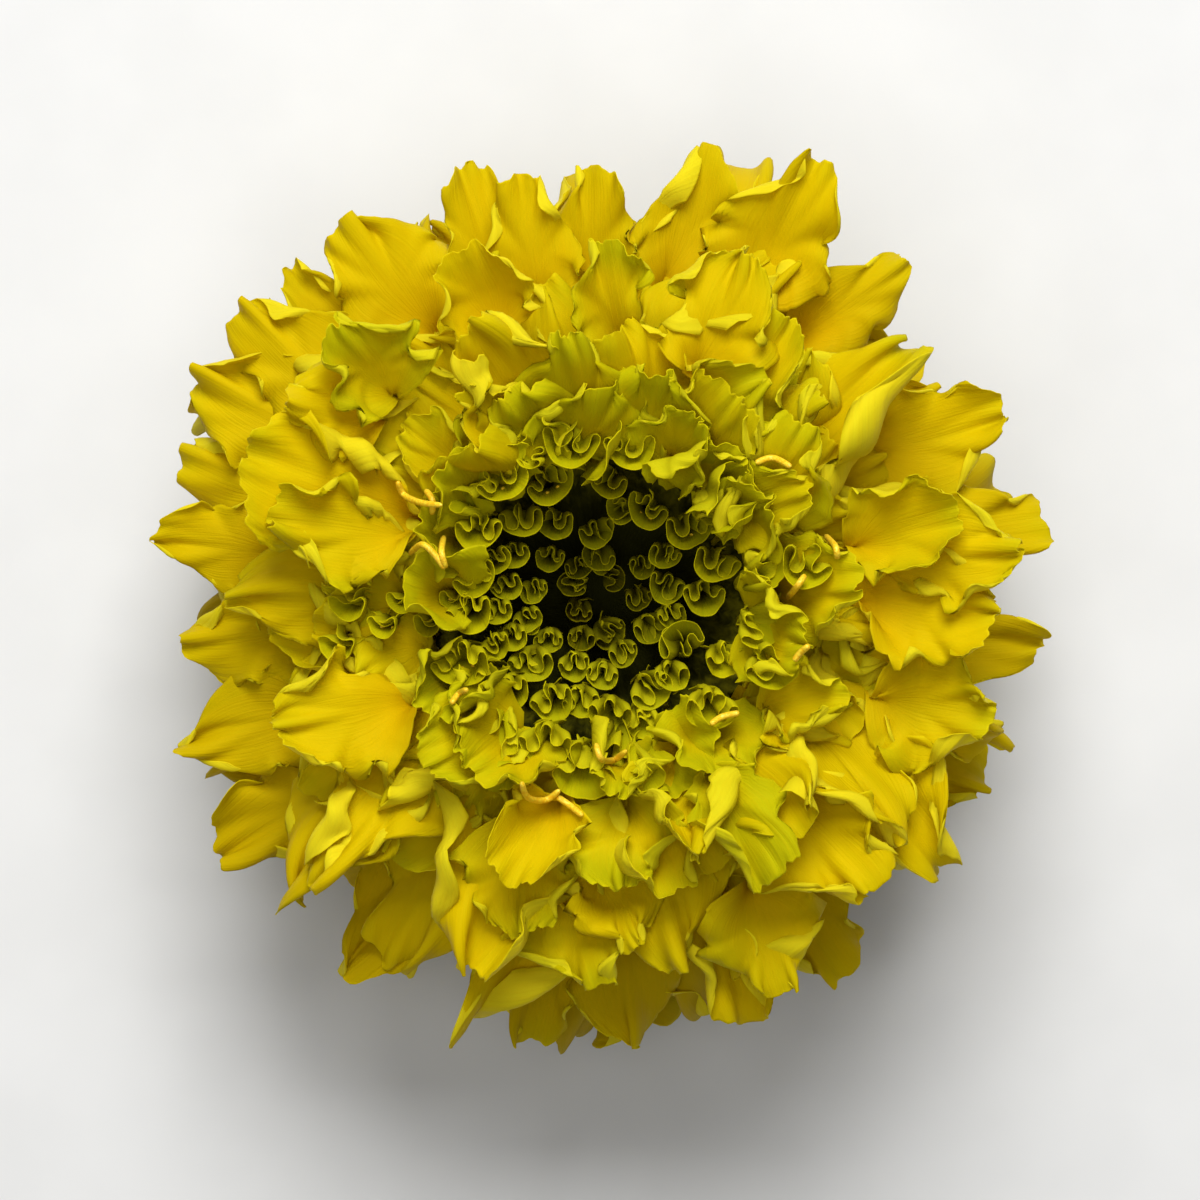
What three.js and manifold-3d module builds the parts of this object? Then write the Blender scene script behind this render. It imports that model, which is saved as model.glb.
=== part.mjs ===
// A fully double African marigold bloom, picked just under its calyx and set down face up.
// Millimetres, +Z up along the axis of the head, origin at the centre of the cut end of the stalk.
//
// The florets follow one spiral rule. Floret number i stands at i golden angles round the axis, and its place t
// runs from 0, the lowest and oldest floret, to 1, the middle of the head. Three profiles over t say where a
// floret opens (its throat), where its tip is, and how far it stands from its neighbours.
// Outer florets are ruffled straps (ligules). The youngest, in the hollow at the middle, are small trumpets.

import * as THREE from "three";
import { mergeVertices } from "three/addons/utils/BufferGeometryUtils.js";
import Module from "manifold-3d";

const wasm = await Module();
wasm.setup();
const { Manifold, Mesh: SolidMesh } = wasm;

// Driving dimensions.
const HEAD_RADIUS = 40;
const HEAD_HEIGHT = 42.4;
const CUT_RADIUS = 3.4;
const CALYX_RADIUS = 9.6;
const CALYX_RIM_HEIGHT = 17;
const CALYX_WALL = 1;
const CUP_FLOOR = 8;
const CUP_TAPER = 0.6; // the cup narrows by this towards its floor
const CUP_TAPER_HEIGHT = 4;
const TOOTH_HEIGHT = 3.2;
const BRACTS = 10;
const GAP = 0.3;
const BLADE_THICKNESS = 0.7;
const CLEAN_STEP = 0.01; // corners this close to a straight edge or a flat face are left out of a joined body
const MERGE_STEP = 1e-3; // and corners this close together are made one

// The spiral rule, as points [radius, height] evenly spread over t = 0 .. 1.
const TIP_PROFILE = [
  [26, 0.8], [34.5, 6], [39, 14], [HEAD_RADIUS, 23], [38, 31.5], [33, 38.3],
  [26.5, HEAD_HEIGHT], [19.5, 42], [14.5, 37.5], [8, 30.5], [0, 26],
];
const THROAT_PROFILE = [
  [9.4, 20.8], [10.6, 21.4], [11.6, 22.2], [12.6, 23.2], [13.8, 24.5], [15, 26],
  [15.7, 27.8], [15.2, 29.6], [13.9, 30.6], [6, 25], [0, 22],
];
// Per t again: distance between neighbours, half the width of a ligule, and how far it bends along its length.
const SPACING = [14, 13.6, 13.1, 12.6, 11.9, 10.8, 9.1, 7.2, 4.8, 3.8, 3];
const HALF_WIDTH = [8.6, 8.4, 8, 7.6, 7.2, 6.6, 5.8, 4.7, 3.6, 3, 3];
const BEND_DEGREES = [80, 76, 70, 64, 58, 52, 46, 38, 30, 30, 30];
// How far the packed claws fill the head along each ligule.
const CLAW_SHARE = [0.3, 0.34, 0.38, 0.42, 0.45, 0.45, 0.45, 0.45, 0.45, 0.45, 0.45];
// How far the head reaches in each direction, every 15 degrees from +X round to +Y, as a share of HEAD_RADIUS.
const REACH_ROUND = [
  1.01, 0.985, 0.96, 1.055, 1.085, 1.035, 0.97, 1.01, 1.04, 1.05, 1.04, 1,
  0.935, 0.99, 1.02, 1.01, 0.955, 0.99, 1, 0.985, 1, 0.95, 0.96, 0.99,
];

const GOLDEN_ANGLE = Math.PI * (3 - Math.sqrt(5));
const PACKING = 0.87; // share of a spacing square that a floret covers in spiral order
const LIGULES_TO = 0.81; // florets before this t are ligules
const TRUMPETS_FROM = 0.845; // florets past this t are trumpets; the wall of the hollow stands between
const CONE_START = THREE.MathUtils.degToRad(12); // the throat of a ligule opens at this half angle
const CORE_SIDES = 12;
const ROOT_DEPTH = 0.16; // each blade starts this share of its length down among the packed claws
const ROUND_BELOW = 16; // tips this near the axis stand in a true circle
const LOBED_BEYOND = 36; // and tips this far out follow REACH_ROUND in full
const REACH_SWING = 0.04; // each ligule's own longest change of reach, as a share
const SIDE_SWING = 0.3; // of place, as a share of the distance between neighbours
const TIP_HEIGHT_SWING = 1.6; // of the height of its tip
const BEND_SWING = 0.25; // and of its bend, as a share
const CORNER_ROUNDING = 0.2; // the corners of its tip are this share of the length further back
const WAVES_ACROSS = 2.2; // ruffles across the tip of a ligule
const RUFFLE = 0.26; // ruffle height, as a share of the half width
const TRUMPET_HEIGHT = 5.2;
const TRUMPET_FOCUS = -4; // the height on the axis that every trumpet points away from
const TRUMPET_SUNK = 1.6; // its root stands this far down in the plug
const TRUMPET_SIDES = 6;
const TRUMPET_WIDTH = 0.9; // mouth, as a share of the distance between neighbours
const TRUMPET_HEIGHT_SWING = 0.8;
const STEM_SHARE = 0.3; // root, as a share of the mouth
const PIT_SHARE = 0.55; // depth of the mouth, as a share of the height
const RIM_WAVE = 0.13;

// The wall between the ligules and the trumpets, as [radius, height].
const HOLLOW_WALL = [[0, 16], [3.4, 17], [9.6, 25], [12.3, 30.5], [13.1, 35.5], [13.3, 46]];

/** A repeatable number from 0 to 1 for floret `index`, one for each `use`. */
function chance(index, use) {
  const x = Math.sin(index * 127.1 + use * 311.7) * 43758.5453;
  return x - Math.floor(x);
}

/** The same, from -1 to 1. */
function swing(index, use) {
  return 2 * chance(index, use) - 1;
}

/** A smooth curve through points given as [radius, height]. */
function profileCurve(points) {
  return new THREE.SplineCurve(points.map(([radius, height]) => new THREE.Vector2(radius, height)));
}

/** The value at t of numbers spread evenly over 0 .. 1, straight between them. */
function valueAt(values, t) {
  const place = THREE.MathUtils.clamp(t, 0, 1) * (values.length - 1);
  const low = Math.min(Math.floor(place), values.length - 2);
  return THREE.MathUtils.lerp(values[low], values[low + 1], place - low);
}

const tipCurve = profileCurve(TIP_PROFILE);
const throatCurve = profileCurve(THROAT_PROFILE);

/** A point of a profile turned to an angle round the axis. */
function onProfile(point, angle, spread = 1) {
  return new THREE.Vector3(point.x * spread * Math.cos(angle), point.x * spread * Math.sin(angle), point.y);
}

/** Every floret's number, place t and angle: t steps on so that each floret has its own square of surface. */
function spiral() {
  const florets = [];
  const curveLength = tipCurve.getLength();
  for (let t = 0; t < 1; ) {
    const index = florets.length;
    florets.push({ index, t, angle: index * GOLDEN_ANGLE });
    const spacing = valueAt(SPACING, t);
    const girth = 2 * Math.PI * Math.max(tipCurve.getPoint(t).x, spacing / 3);
    t += (PACKING * spacing * spacing) / (girth * curveLength);
  }
  return florets;
}

/** How far the head reaches towards an angle, as a share of its mean radius. */
function reachTowards(angle) {
  const place = THREE.MathUtils.euclideanModulo(angle / (2 * Math.PI), 1);
  return valueAt([...REACH_ROUND, REACH_ROUND[0]], place);
}

/** A ligule's frame: throat, axis of its cone, outward side, width direction, length and cone angles. */
function liguleFrame(floret, jitter = 1) {
  const { index, t, angle } = floret;
  const spacing = valueAt(SPACING, t);
  const tipPoint = tipCurve.getPoint(t);
  const turned = angle + (SIDE_SWING * jitter * swing(index, 2) * spacing) / Math.max(tipPoint.x, spacing);
  const towards = THREE.MathUtils.smoothstep(tipPoint.x, ROUND_BELOW, LOBED_BEYOND);
  const own = REACH_SWING * swing(index, 1) + (reachTowards(turned) - 1) * towards;
  const reach = 1 + jitter * own;
  const throat = onProfile(throatCurve.getPoint(t), angle);
  const tip = onProfile(tipPoint, turned, reach);
  tip.z = Math.max(tip.z + TIP_HEIGHT_SWING * jitter * swing(index, 3), TIP_PROFILE[0][1]);
  const chord = tip.clone().sub(throat);
  const bend = THREE.MathUtils.degToRad(valueAt(BEND_DEGREES, t) * (1 + BEND_SWING * jitter * swing(index, 4)));
  const along = chord.clone().normalize();
  const outwards = new THREE.Vector3(Math.cos(turned), Math.sin(turned), 0);
  const upperSide = new THREE.Vector3(0, 0, 1).addScaledVector(outwards, -0.5);
  upperSide.addScaledVector(along, -upperSide.dot(along)).normalize();
  const lean = bend / 2 + CONE_START;
  const axis = along.clone().multiplyScalar(Math.cos(lean)).addScaledVector(upperSide, Math.sin(lean));
  const outSide = along.clone().multiplyScalar(Math.sin(lean)).addScaledVector(upperSide, -Math.cos(lean));
  const across = new THREE.Vector3().crossVectors(axis, outSide);
  const length = (chord.length() * (bend / 2)) / Math.sin(bend / 2);
  const flare = (Math.cos(CONE_START) - Math.cos(CONE_START + bend)) / bend;
  const fan = Math.asin(Math.min(0.95, valueAt(HALF_WIDTH, t) / (length * flare)));
  return { index, t, throat, axis, outSide, across, length, bend, fan };
}

/**
 * A point of a ligule. u runs from throat to tip and v from -1 to 1 across it. Each v is a ray that leaves the
 * throat on a narrow cone and bends away from the axis by the same angle per length, so the blade is a sector
 * of a bell; the corners of its tip are rounded.
 */
function bellPoint(frame, u, v) {
  const along = u * (1 - CORNER_ROUNDING * Math.abs(v) ** 2.5);
  const angle = CONE_START + frame.bend * along;
  const rise = (frame.length * (Math.sin(angle) - Math.sin(CONE_START))) / frame.bend;
  const spread = (frame.length * (Math.cos(CONE_START) - Math.cos(angle))) / frame.bend;
  return frame.throat
    .clone()
    .addScaledVector(frame.axis, rise)
    .addScaledVector(frame.outSide, spread * Math.cos(v * frame.fan))
    .addScaledVector(frame.across, spread * Math.sin(v * frame.fan));
}

/** The upper side's normal of a ligule before it is ruffled. */
function bellNormal(frame, u, v) {
  const step = 0.02;
  const alongU = bellPoint(frame, u + step, v).sub(bellPoint(frame, u - step, v));
  const alongV = bellPoint(frame, u, v + step).sub(bellPoint(frame, u, v - step));
  return alongV.cross(alongU).normalize();
}

/** Height of the ruffle at (u, v): waves across the blade that grow towards its tip. */
function ruffle(frame, u, v) {
  const wave = Math.sin(Math.PI * WAVES_ACROSS * v + 2 * Math.PI * chance(frame.index, 5));
  const height = RUFFLE * valueAt(HALF_WIDTH, frame.t) * (0.7 + 0.6 * chance(frame.index, 6));
  return height * wave * THREE.MathUtils.smoothstep(u, 0.3, 1);
}

/** A manifold solid from corner points and a closed set of triangles, turned to face outwards. */
function outwardSolid(points, triangles) {
  const solidFrom = (index) => solidOf(new THREE.BufferGeometry().setFromPoints(points).setIndex(index));
  const solid = solidFrom(triangles);
  return solid.volume() < 0 ? solidFrom(triangles.toReversed()) : solid;
}

/** A manifold solid from a closed three.js geometry. */
function solidOf(geometry, mergeStep = 1e-4) {
  const bare = geometry.clone();
  bare.deleteAttribute("normal");
  bare.deleteAttribute("uv");
  const merged = mergeVertices(bare, mergeStep);
  return new Manifold(
    new SolidMesh({
      numProp: 3,
      vertProperties: merged.attributes.position.array,
      triVerts: new Uint32Array(merged.index.array),
    }),
  );
}

/** A three.js geometry from a manifold solid. */
function geometryOf(solid) {
  const mesh = solid.getMesh();
  const position = new THREE.BufferAttribute(new Float32Array(mesh.vertProperties), mesh.numProp);
  const geometry = new THREE.BufferGeometry().setAttribute("position", position);
  geometry.setIndex(new THREE.BufferAttribute(mesh.triVerts, 1));
  geometry.computeVertexNormals();
  return geometry;
}

/** Triangles [a, b, c] between two rows of points, given as the first number and count of each row. */
function stripBetween(startA, countA, startB, countB) {
  const triangles = [];
  let a = 0;
  let b = 0;
  while (a < countA - 1 || b < countB - 1) {
    const nextA = (a + 1) / (countA - 1);
    const nextB = (b + 1) / (countB - 1);
    if (b === countB - 1 || (a < countA - 1 && nextA < nextB)) {
      triangles.push([startA + a, startA + a + 1, startB + b]);
      a += 1;
    } else {
      triangles.push([startA + a, startB + b + 1, startB + b]);
      b += 1;
    }
  }
  return triangles;
}

/** One ligule as a thin closed blade: rows of points across it, the same split into triangles on both faces. */
function liguleSolid(floret) {
  const frame = liguleFrame(floret);
  const rows = [{ u: valueAt(CLAW_SHARE, floret.t) - ROOT_DEPTH, count: 1 }, { u: 0.7, count: 3 }, { u: 1, count: 7 }];
  const upper = [];
  const lower = [];
  const faces = [];
  let start = 0;
  rows.forEach(({ u, count }, row) => {
    for (let k = 0; k < count; k++) {
      const v = count > 1 ? (2 * k) / (count - 1) - 1 : 0;
      const normal = bellNormal(frame, u, v);
      const middle = bellPoint(frame, u, v).addScaledVector(normal, ruffle(frame, u, v));
      upper.push(middle.clone().addScaledVector(normal, BLADE_THICKNESS / 2));
      lower.push(middle.clone().addScaledVector(normal, -BLADE_THICKNESS / 2));
    }
    if (row > 0) faces.push(...stripBetween(start - rows[row - 1].count, rows[row - 1].count, start, count));
    start += count;
  });
  return bladeFrom(upper, lower, faces);
}

/** Closes two matching sheets of points into one blade, with a wall along every open edge. */
function bladeFrom(upper, lower, faces) {
  const shift = upper.length;
  const edges = new Map();
  const triangles = [];
  for (const [a, b, c] of faces) {
    triangles.push(a, b, c, shift + a, shift + c, shift + b);
    for (const [p, q] of [[a, b], [b, c], [c, a]]) {
      if (!edges.delete(`${q},${p}`)) edges.set(`${p},${q}`, [p, q]);
    }
  }
  for (const [p, q] of edges.values()) {
    triangles.push(q, p, shift + p, q, shift + p, shift + q);
  }
  return outwardSolid([...upper, ...lower], triangles);
}

/** One trumpet: a funnel with a wavy rim and a pit, on a stem that stands in the packed florets. */
function trumpetSolid(floret) {
  const { index, t, angle } = floret;
  const sides = TRUMPET_SIDES;
  const rimRadius = TRUMPET_WIDTH * valueAt(SPACING, t) / 2;
  const rim = onProfile(tipCurve.getPoint(t), angle);
  rim.z += TRUMPET_HEIGHT_SWING * swing(index, 3);
  const axis = rim.clone().setZ(rim.z - TRUMPET_FOCUS).normalize();
  const acrossA = new THREE.Vector3(-Math.sin(angle), Math.cos(angle), 0);
  const acrossB = new THREE.Vector3().crossVectors(axis, acrossA);
  const turn = 2 * Math.PI * chance(index, 5);
  const ring = (radius, below, wave) =>
    Array.from({ length: sides }, (_, k) => {
      const around = turn + (2 * Math.PI * k) / sides;
      const own = radius * (1 + wave * (k % 2 ? 1 : -1));
      return rim
        .clone()
        .addScaledVector(axis, -below - wave * (k % 2 ? 1 : -1))
        .addScaledVector(acrossA, own * Math.cos(around))
        .addScaledVector(acrossB, own * Math.sin(around));
    });
  const points = [
    ...ring(STEM_SHARE * rimRadius, TRUMPET_HEIGHT + TRUMPET_SUNK, 0),
    ...ring(rimRadius, 0, RIM_WAVE),
    ...ring(rimRadius - BLADE_THICKNESS, 0, RIM_WAVE),
    rim.clone().addScaledVector(axis, -PIT_SHARE * TRUMPET_HEIGHT),
  ];
  const pit = 3 * sides;
  const triangles = [];
  for (let k = 0; k < sides; k++) {
    const next = (k + 1) % sides;
    const [root, rootNext] = [k, next];
    const [outer, outerNext] = [sides + k, sides + next];
    const [inner, innerNext] = [2 * sides + k, 2 * sides + next];
    triangles.push(root, rootNext, outer, outer, rootNext, outerNext);
    triangles.push(outer, outerNext, inner, inner, outerNext, innerNext);
    triangles.push(inner, innerNext, pit);
    if (k > 1) triangles.push(0, k, k - 1);
  }
  return outwardSolid(points, triangles);
}

/** A solid of revolution about Z from [radius, height] points that start and end on the axis. */
function turned(points) {
  const profile = points.map(([radius, height]) => new THREE.Vector2(radius, height));
  return solidOf(new THREE.LatheGeometry(profile, CORE_SIDES).rotateX(Math.PI / 2));
}

/** The packed claws that fill the head under the ligules, with the hollow for the trumpets left open. */
function clawCore() {
  const inCup = CALYX_RADIUS - CALYX_WALL - GAP;
  const underside = CALYX_RIM_HEIGHT + TOOTH_HEIGHT + 2 * GAP;
  const floor = CUP_FLOOR + GAP;
  const points = [[0, floor], [inCup - CUP_TAPER, floor], [inCup, floor + CUP_TAPER_HEIGHT]];
  points.push([inCup, underside], [CALYX_RADIUS + 1, underside]);
  const steps = 5;
  for (let k = 0; k <= steps; k++) {
    const t = (k / steps) * LIGULES_TO;
    const point = bellPoint(liguleFrame({ index: 0, t, angle: 0 }, 0), valueAt(CLAW_SHARE, t), 0);
    points.push([point.x, point.z]);
  }
  HOLLOW_WALL.toReversed().slice(2).forEach(([radius, height]) => {
    points.push([radius > 0 ? radius + GAP : 0, height - GAP]);
  });
  return turned(points);
}

/** The packed stems of the trumpets: a plug inside the hollow's wall. */
function trumpetCore() {
  const points = HOLLOW_WALL.slice(0, -2).map(([radius, height]) => [Math.max(radius - GAP, 0), height + GAP]);
  const steps = 3;
  for (let k = 0; k <= steps; k++) {
    const rim = tipCurve.getPoint(THREE.MathUtils.lerp(TRUMPETS_FROM, 1, k / steps));
    const share = TRUMPET_HEIGHT / Math.hypot(rim.x, rim.y - TRUMPET_FOCUS);
    points.push([k === steps ? 0 : rim.x * (1 - share), THREE.MathUtils.lerp(rim.y, TRUMPET_FOCUS, share)]);
  }
  return turned(points);
}

/** The space inside the hollow's wall, grown or shrunk by `grow`. */
function hollow(grow) {
  const points = HOLLOW_WALL.map(([radius, height]) => [radius > 0 ? radius + grow : 0, height - grow]);
  const [topRadius, topHeight] = points.at(-1);
  return turned([...points, [topRadius, topHeight + 8], [0, topHeight + 8]]);
}

/** Stalk stub, calyx cup and its teeth: rings of points, ribbed by the bracts, closed below and in the cup. */
function calyxGeometry() {
  const aroundBract = 4;
  const sides = BRACTS * aroundBract;
  const outside = [
    [CUT_RADIUS, 0, 0], [3.3, 1.4, 0], [4.2, 2.8, 0.02], [6.6, 5, 0.035], [8.6, 8.6, 0.035],
    [9.5, 12.5, 0.03], [CALYX_RADIUS, CALYX_RIM_HEIGHT, 0.02],
  ];
  const inner = CALYX_RADIUS - CALYX_WALL;
  const inside = [[inner, CALYX_RIM_HEIGHT, 0], [inner, CUP_FLOOR + CUP_TAPER_HEIGHT, 0]];
  inside.push([inner - CUP_TAPER, CUP_FLOOR, 0]);
  const rim = outside.length - 1;
  const points = [new THREE.Vector3(0, 0, 0)];
  [...outside, ...inside].forEach(([radius, height, rib], ring) => {
    for (let k = 0; k < sides; k++) {
      const angle = (2 * Math.PI * k) / sides;
      const crest = 1 - Math.abs(((k % aroundBract) / aroundBract) * 2 - 1);
      const r = radius * (1 + rib * (2 * crest - 1));
      const lift = ring === rim || ring === rim + 1 ? TOOTH_HEIGHT * crest : 0;
      points.push(new THREE.Vector3(r * Math.cos(angle), r * Math.sin(angle), height + lift));
    }
  });
  points.push(new THREE.Vector3(0, 0, CUP_FLOOR));
  const triangles = [];
  const rings = outside.length + inside.length;
  for (let k = 0; k < sides; k++) {
    const next = (k + 1) % sides;
    triangles.push(0, 1 + next, 1 + k);
    for (let ring = 0; ring < rings - 1; ring++) {
      const low = 1 + ring * sides;
      triangles.push(low + k, low + next, low + sides + k, low + sides + k, low + next, low + sides + next);
    }
    const last = 1 + (rings - 1) * sides;
    triangles.push(last + k, last + next, points.length - 1);
  }
  return new THREE.BufferGeometry().setFromPoints(points).setIndex(triangles);
}

/** The largest body of a solid, with its sealed hollows filled and loose scraps dropped. */
function oneBody(solid) {
  let bodies = solid.simplify(CLEAN_STEP).decompose();
  do {
    const largest = bodies.reduce((best, body) => (body.volume() > best.volume() ? body : best));
    bodies = solidOf(geometryOf(largest), MERGE_STEP).decompose();
  } while (bodies.length > 1);
  return bodies[0];
}

/** A named mesh with its own matt material. */
function part(name, geometry, colour) {
  const material = new THREE.MeshStandardMaterial({ color: colour, roughness: 0.6, metalness: 0 });
  const mesh = new THREE.Mesh(geometry, material);
  mesh.name = name;
  return mesh;
}

const florets = spiral();
const ligules = florets.filter(({ t }) => t < LIGULES_TO).map(liguleSolid);
const trumpets = florets.filter(({ t }) => t >= TRUMPETS_FROM).map(trumpetSolid);
const outer = oneBody(Manifold.union([clawCore(), ...ligules]).subtract(hollow(GAP / 2)));
const centre = oneBody(Manifold.union([trumpetCore(), ...trumpets]).intersect(hollow(-GAP / 2)));

const marigold = new THREE.Group();
marigold.add(part("calyx", calyxGeometry(), 0x7f9a3c));
marigold.add(part("ray_petals", geometryOf(outer), 0xe2c40c));
marigold.add(part("centre_florets", geometryOf(centre), 0xa7a71a));

export default marigold;
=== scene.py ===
"""A fully double African marigold head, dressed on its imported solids.

Every floret is one thin sheet, worked out from the same spiral rule as the solids: floret number i stands i
golden angles round the axis, and its place t runs from 0, the lowest and oldest, to 1, the middle of the head.
Old florets are broad ruffled straps, young ones rolled trumpets, and the ages between are half-open funnels, so
one function makes them all. Lengths are in millimetres until a mesh is written, which is in metres.
"""

import logging
import math
from dataclasses import dataclass
from enum import Enum, IntEnum

import bpy
import numpy as np
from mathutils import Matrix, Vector
from numpy.typing import NDArray


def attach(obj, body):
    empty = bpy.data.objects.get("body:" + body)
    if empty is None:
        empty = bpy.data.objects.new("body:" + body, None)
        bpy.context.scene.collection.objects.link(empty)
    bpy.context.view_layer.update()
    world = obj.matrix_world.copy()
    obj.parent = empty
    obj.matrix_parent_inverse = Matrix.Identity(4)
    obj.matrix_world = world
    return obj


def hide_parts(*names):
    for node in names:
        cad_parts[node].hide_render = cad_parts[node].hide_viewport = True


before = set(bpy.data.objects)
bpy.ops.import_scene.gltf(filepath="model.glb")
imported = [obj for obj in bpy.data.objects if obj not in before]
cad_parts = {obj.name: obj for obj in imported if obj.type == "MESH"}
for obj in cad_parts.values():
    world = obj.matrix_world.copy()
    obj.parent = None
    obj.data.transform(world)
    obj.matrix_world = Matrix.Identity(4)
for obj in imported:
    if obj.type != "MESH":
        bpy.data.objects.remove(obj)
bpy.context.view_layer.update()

Array = NDArray[np.float64]
Colour = tuple[float, float, float, float]

LOG = logging.getLogger("marigold")
MM = 0.001
PHOTO_SIDE = 1200
PHOTO_CENTRE = (600.0, 603.0)
PHOTO_MM = 0.0889
GOLDEN_ANGLE = math.pi * (3 - math.sqrt(5))
LIP_BACK = np.array([0.0, 1.0, 0.2])
UP = np.array([0, 0, 1.0])
FIRST_PHOTO_FLORET = 1000.0
FLOOR_GAP = 0.4


class FloretKind(Enum):
    """The kinds of floret: the name of their pieces, the slot of their finish, the node they replace."""

    RAY = ("ray_whorl", "petal", "ray_petals")
    TRUMPET = ("centre_trumpets", "young_floret", "centre_florets")


class Draw(IntEnum):
    """What one of a floret's repeatable draws decides."""

    REACH = 1
    SIDE = 2
    HEIGHT = 3
    BEND = 4
    TURN = 7
    HALF_WIDTH = 8
    ROLL = 9
    SKEW = 10
    HOOK = 11
    RUFFLE = 12
    WAVES = 13
    TWIST = 14
    CURL = 15
    ROUNDING = 16
    GREEN = 17
    FOLD_LEFT = 18
    FOLD_RIGHT = 19
    FOLD_AT = 20
    NOTCH_PITCH = 21
    NOTCHES = 22
    FRINGE_PITCH = 23
    FRINGE = 24
    BROAD_RIPPLE = 25
    RIPPLE = 26
    FINE_RIPPLE = 27
    CLOSED = 28
    PINCH = 29
    SKIN = 30
    BACK_PITCH = 31
    BACK_SIDES = 32
    LIP = 33
    FINE_LIP = 34
    TEETH = 35
    FINE_TEETH = 36
    STYLES = 40


def chance(index: Array, use: Draw) -> Array:
    """A repeatable number from 0 to 1 for each floret number, one for each use."""
    wave = np.sin(np.asarray(index, float) * 127.1 + use * 311.7) * 43758.5453
    return wave - np.floor(wave)


def swing(index: Array, use: Draw) -> Array:
    """The same, from -1 to 1."""
    return 2 * chance(index, use) - 1


def smooth(low: float, high: float, x: Array) -> Array:
    """0 below low, 1 above high, and 3s^2 - 2s^3 of the share s between."""
    share = np.clip((x - low) / (high - low), 0, 1)
    return share * share * (3 - 2 * share)


def value_at(values: tuple[float, ...], t: Array) -> Array:
    """The value at t of numbers spread evenly over 0 .. 1, straight between them."""
    return np.interp(t, np.linspace(0, 1, len(values)), values)


def unit(vectors: Array) -> Array:
    """Vectors along the last axis, each made one long."""
    return vectors / np.maximum(np.linalg.norm(vectors, axis=-1, keepdims=True), 1e-12)


def facing(along: Array, towards: Array, turn: Array) -> Array:
    """Directions of the florets' upper sides.

    Args:
        along: unit vectors from throat to tip.
        towards: where the upper side would look; only the part square to the floret counts.
        turn: how far it is then turned about the floret, in radians.

    Returns:
        Unit vectors square to the florets.
    """
    square = unit(towards - (towards * along).sum(-1, keepdims=True) * along)
    return square * np.cos(turn) + np.cross(along, square) * np.sin(turn)


def photo_point(pixel: tuple[float, float], height: float) -> Array:
    """A point in millimetres that the photograph shows at a pixel, at a height above the surface.

    Args:
        pixel: its place in the 1200 x 1200 photograph.
        height: its height in millimetres.

    Returns:
        The point, with +X to the right of the photograph and +Y to its top.
    """
    across = (pixel[0] - PHOTO_CENTRE[0]) * PHOTO_MM
    up = (PHOTO_CENTRE[1] - pixel[1]) * PHOTO_MM
    return np.array([across, up, height])


@dataclass(frozen=True)
class Profile:
    """A smooth curve through [radius, height] points that are evenly spread over t."""

    points: tuple[tuple[float, float], ...]

    def at(self, t: Array) -> Array:
        """Points of the uniform Catmull-Rom curve: each stretch is the cubic that leaves a point along the
        line between its two neighbours.

        Args:
            t: places along the curve, 0 .. 1.

        Returns:
            [radius, height] for each t.
        """
        known = np.array(self.points)
        place = np.clip(t, 0, 1) * (len(known) - 1)
        low = np.minimum(place.astype(int), len(known) - 2)
        w = (place - low)[..., None]
        last = len(known) - 1
        p0, p1 = known[np.maximum(low - 1, 0)], known[low]
        p2, p3 = known[np.minimum(low + 1, last)], known[np.minimum(low + 2, last)]
        v0, v1 = (p2 - p0) / 2, (p3 - p1) / 2
        cubic = (2 * p1 - 2 * p2 + v0 + v1) * w**3
        return cubic + (-3 * p1 + 3 * p2 - 2 * v0 - v1) * w**2 + v0 * w + p1

    def length(self) -> float:
        """Length of the curve, from 200 chords."""
        chords = np.diff(self.at(np.linspace(0, 1, 201)), axis=0)
        return float(np.linalg.norm(chords, axis=1).sum())


@dataclass(frozen=True)
class SpiralRule:
    """Where the florets of the head open and end, and how closely they stand.

    `tips` and `throats` are [radius, height] from the lowest floret to the middle. `spacing` is how far apart
    neighbours stand, `packing` the share of its square that a floret takes, `last` the place of the inmost
    floret, and `reach_round` the reach of the head at even angles, as a share of its mean.
    """

    tips: Profile = Profile(
        (
            (26, 0.8), (34.5, 6), (39, 14), (40, 23), (38, 31.5), (33, 38.3),
            (26.5, 42.4), (20.2, 42), (16.6, 39), (8.4, 30), (0, 18),
        )
    )
    throats: Profile = Profile(
        (
            (9.4, 20.8), (10.6, 21.4), (11.6, 22.2), (12.6, 23.2), (13.8, 24.5), (15, 26),
            (15.7, 27.8), (15.2, 29.6), (13.4, 29.5), (6.5, 19.5), (0, 10),
        )
    )
    spacing: tuple[float, ...] = (11, 10.4, 9.8, 9.2, 8.6, 7.8, 6.9, 6.2, 5.2, 3.6, 2.3)
    packing: float = 0.87
    last: float = 0.97
    reach_round: tuple[float, ...] = (
        0.96, 0.97, 0.93, 0.92, 1, 0.96, 0.92, 0.95, 0.98, 0.98, 1, 0.98,
        0.92, 0.93, 0.94, 0.93, 0.95, 0.95, 0.97, 0.95, 0.95, 0.92, 0.94, 0.94, 0.96,
    )

    def places(self) -> Array:
        """The place t of every floret: each takes its own square of the surface that the tips stand on.

        Returns:
            The places, from 0 to just under `last`.
        """
        found: list[float] = []
        whole = self.tips.length()
        t = 0.0
        while t < self.last:
            found.append(t)
            apart = float(value_at(self.spacing, np.array(t)))
            radius = float(self.tips.at(np.array(t))[0])
            girth = 2 * math.pi * max(radius, apart / 3)
            t += self.packing * apart * apart / (girth * whole)
        return np.array(found)

    def reach_towards(self, angle: Array) -> Array:
        """How far the head reaches towards an angle, as a share of its mean radius."""
        return value_at(self.reach_round, np.mod(angle / (2 * math.pi), 1))


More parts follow.
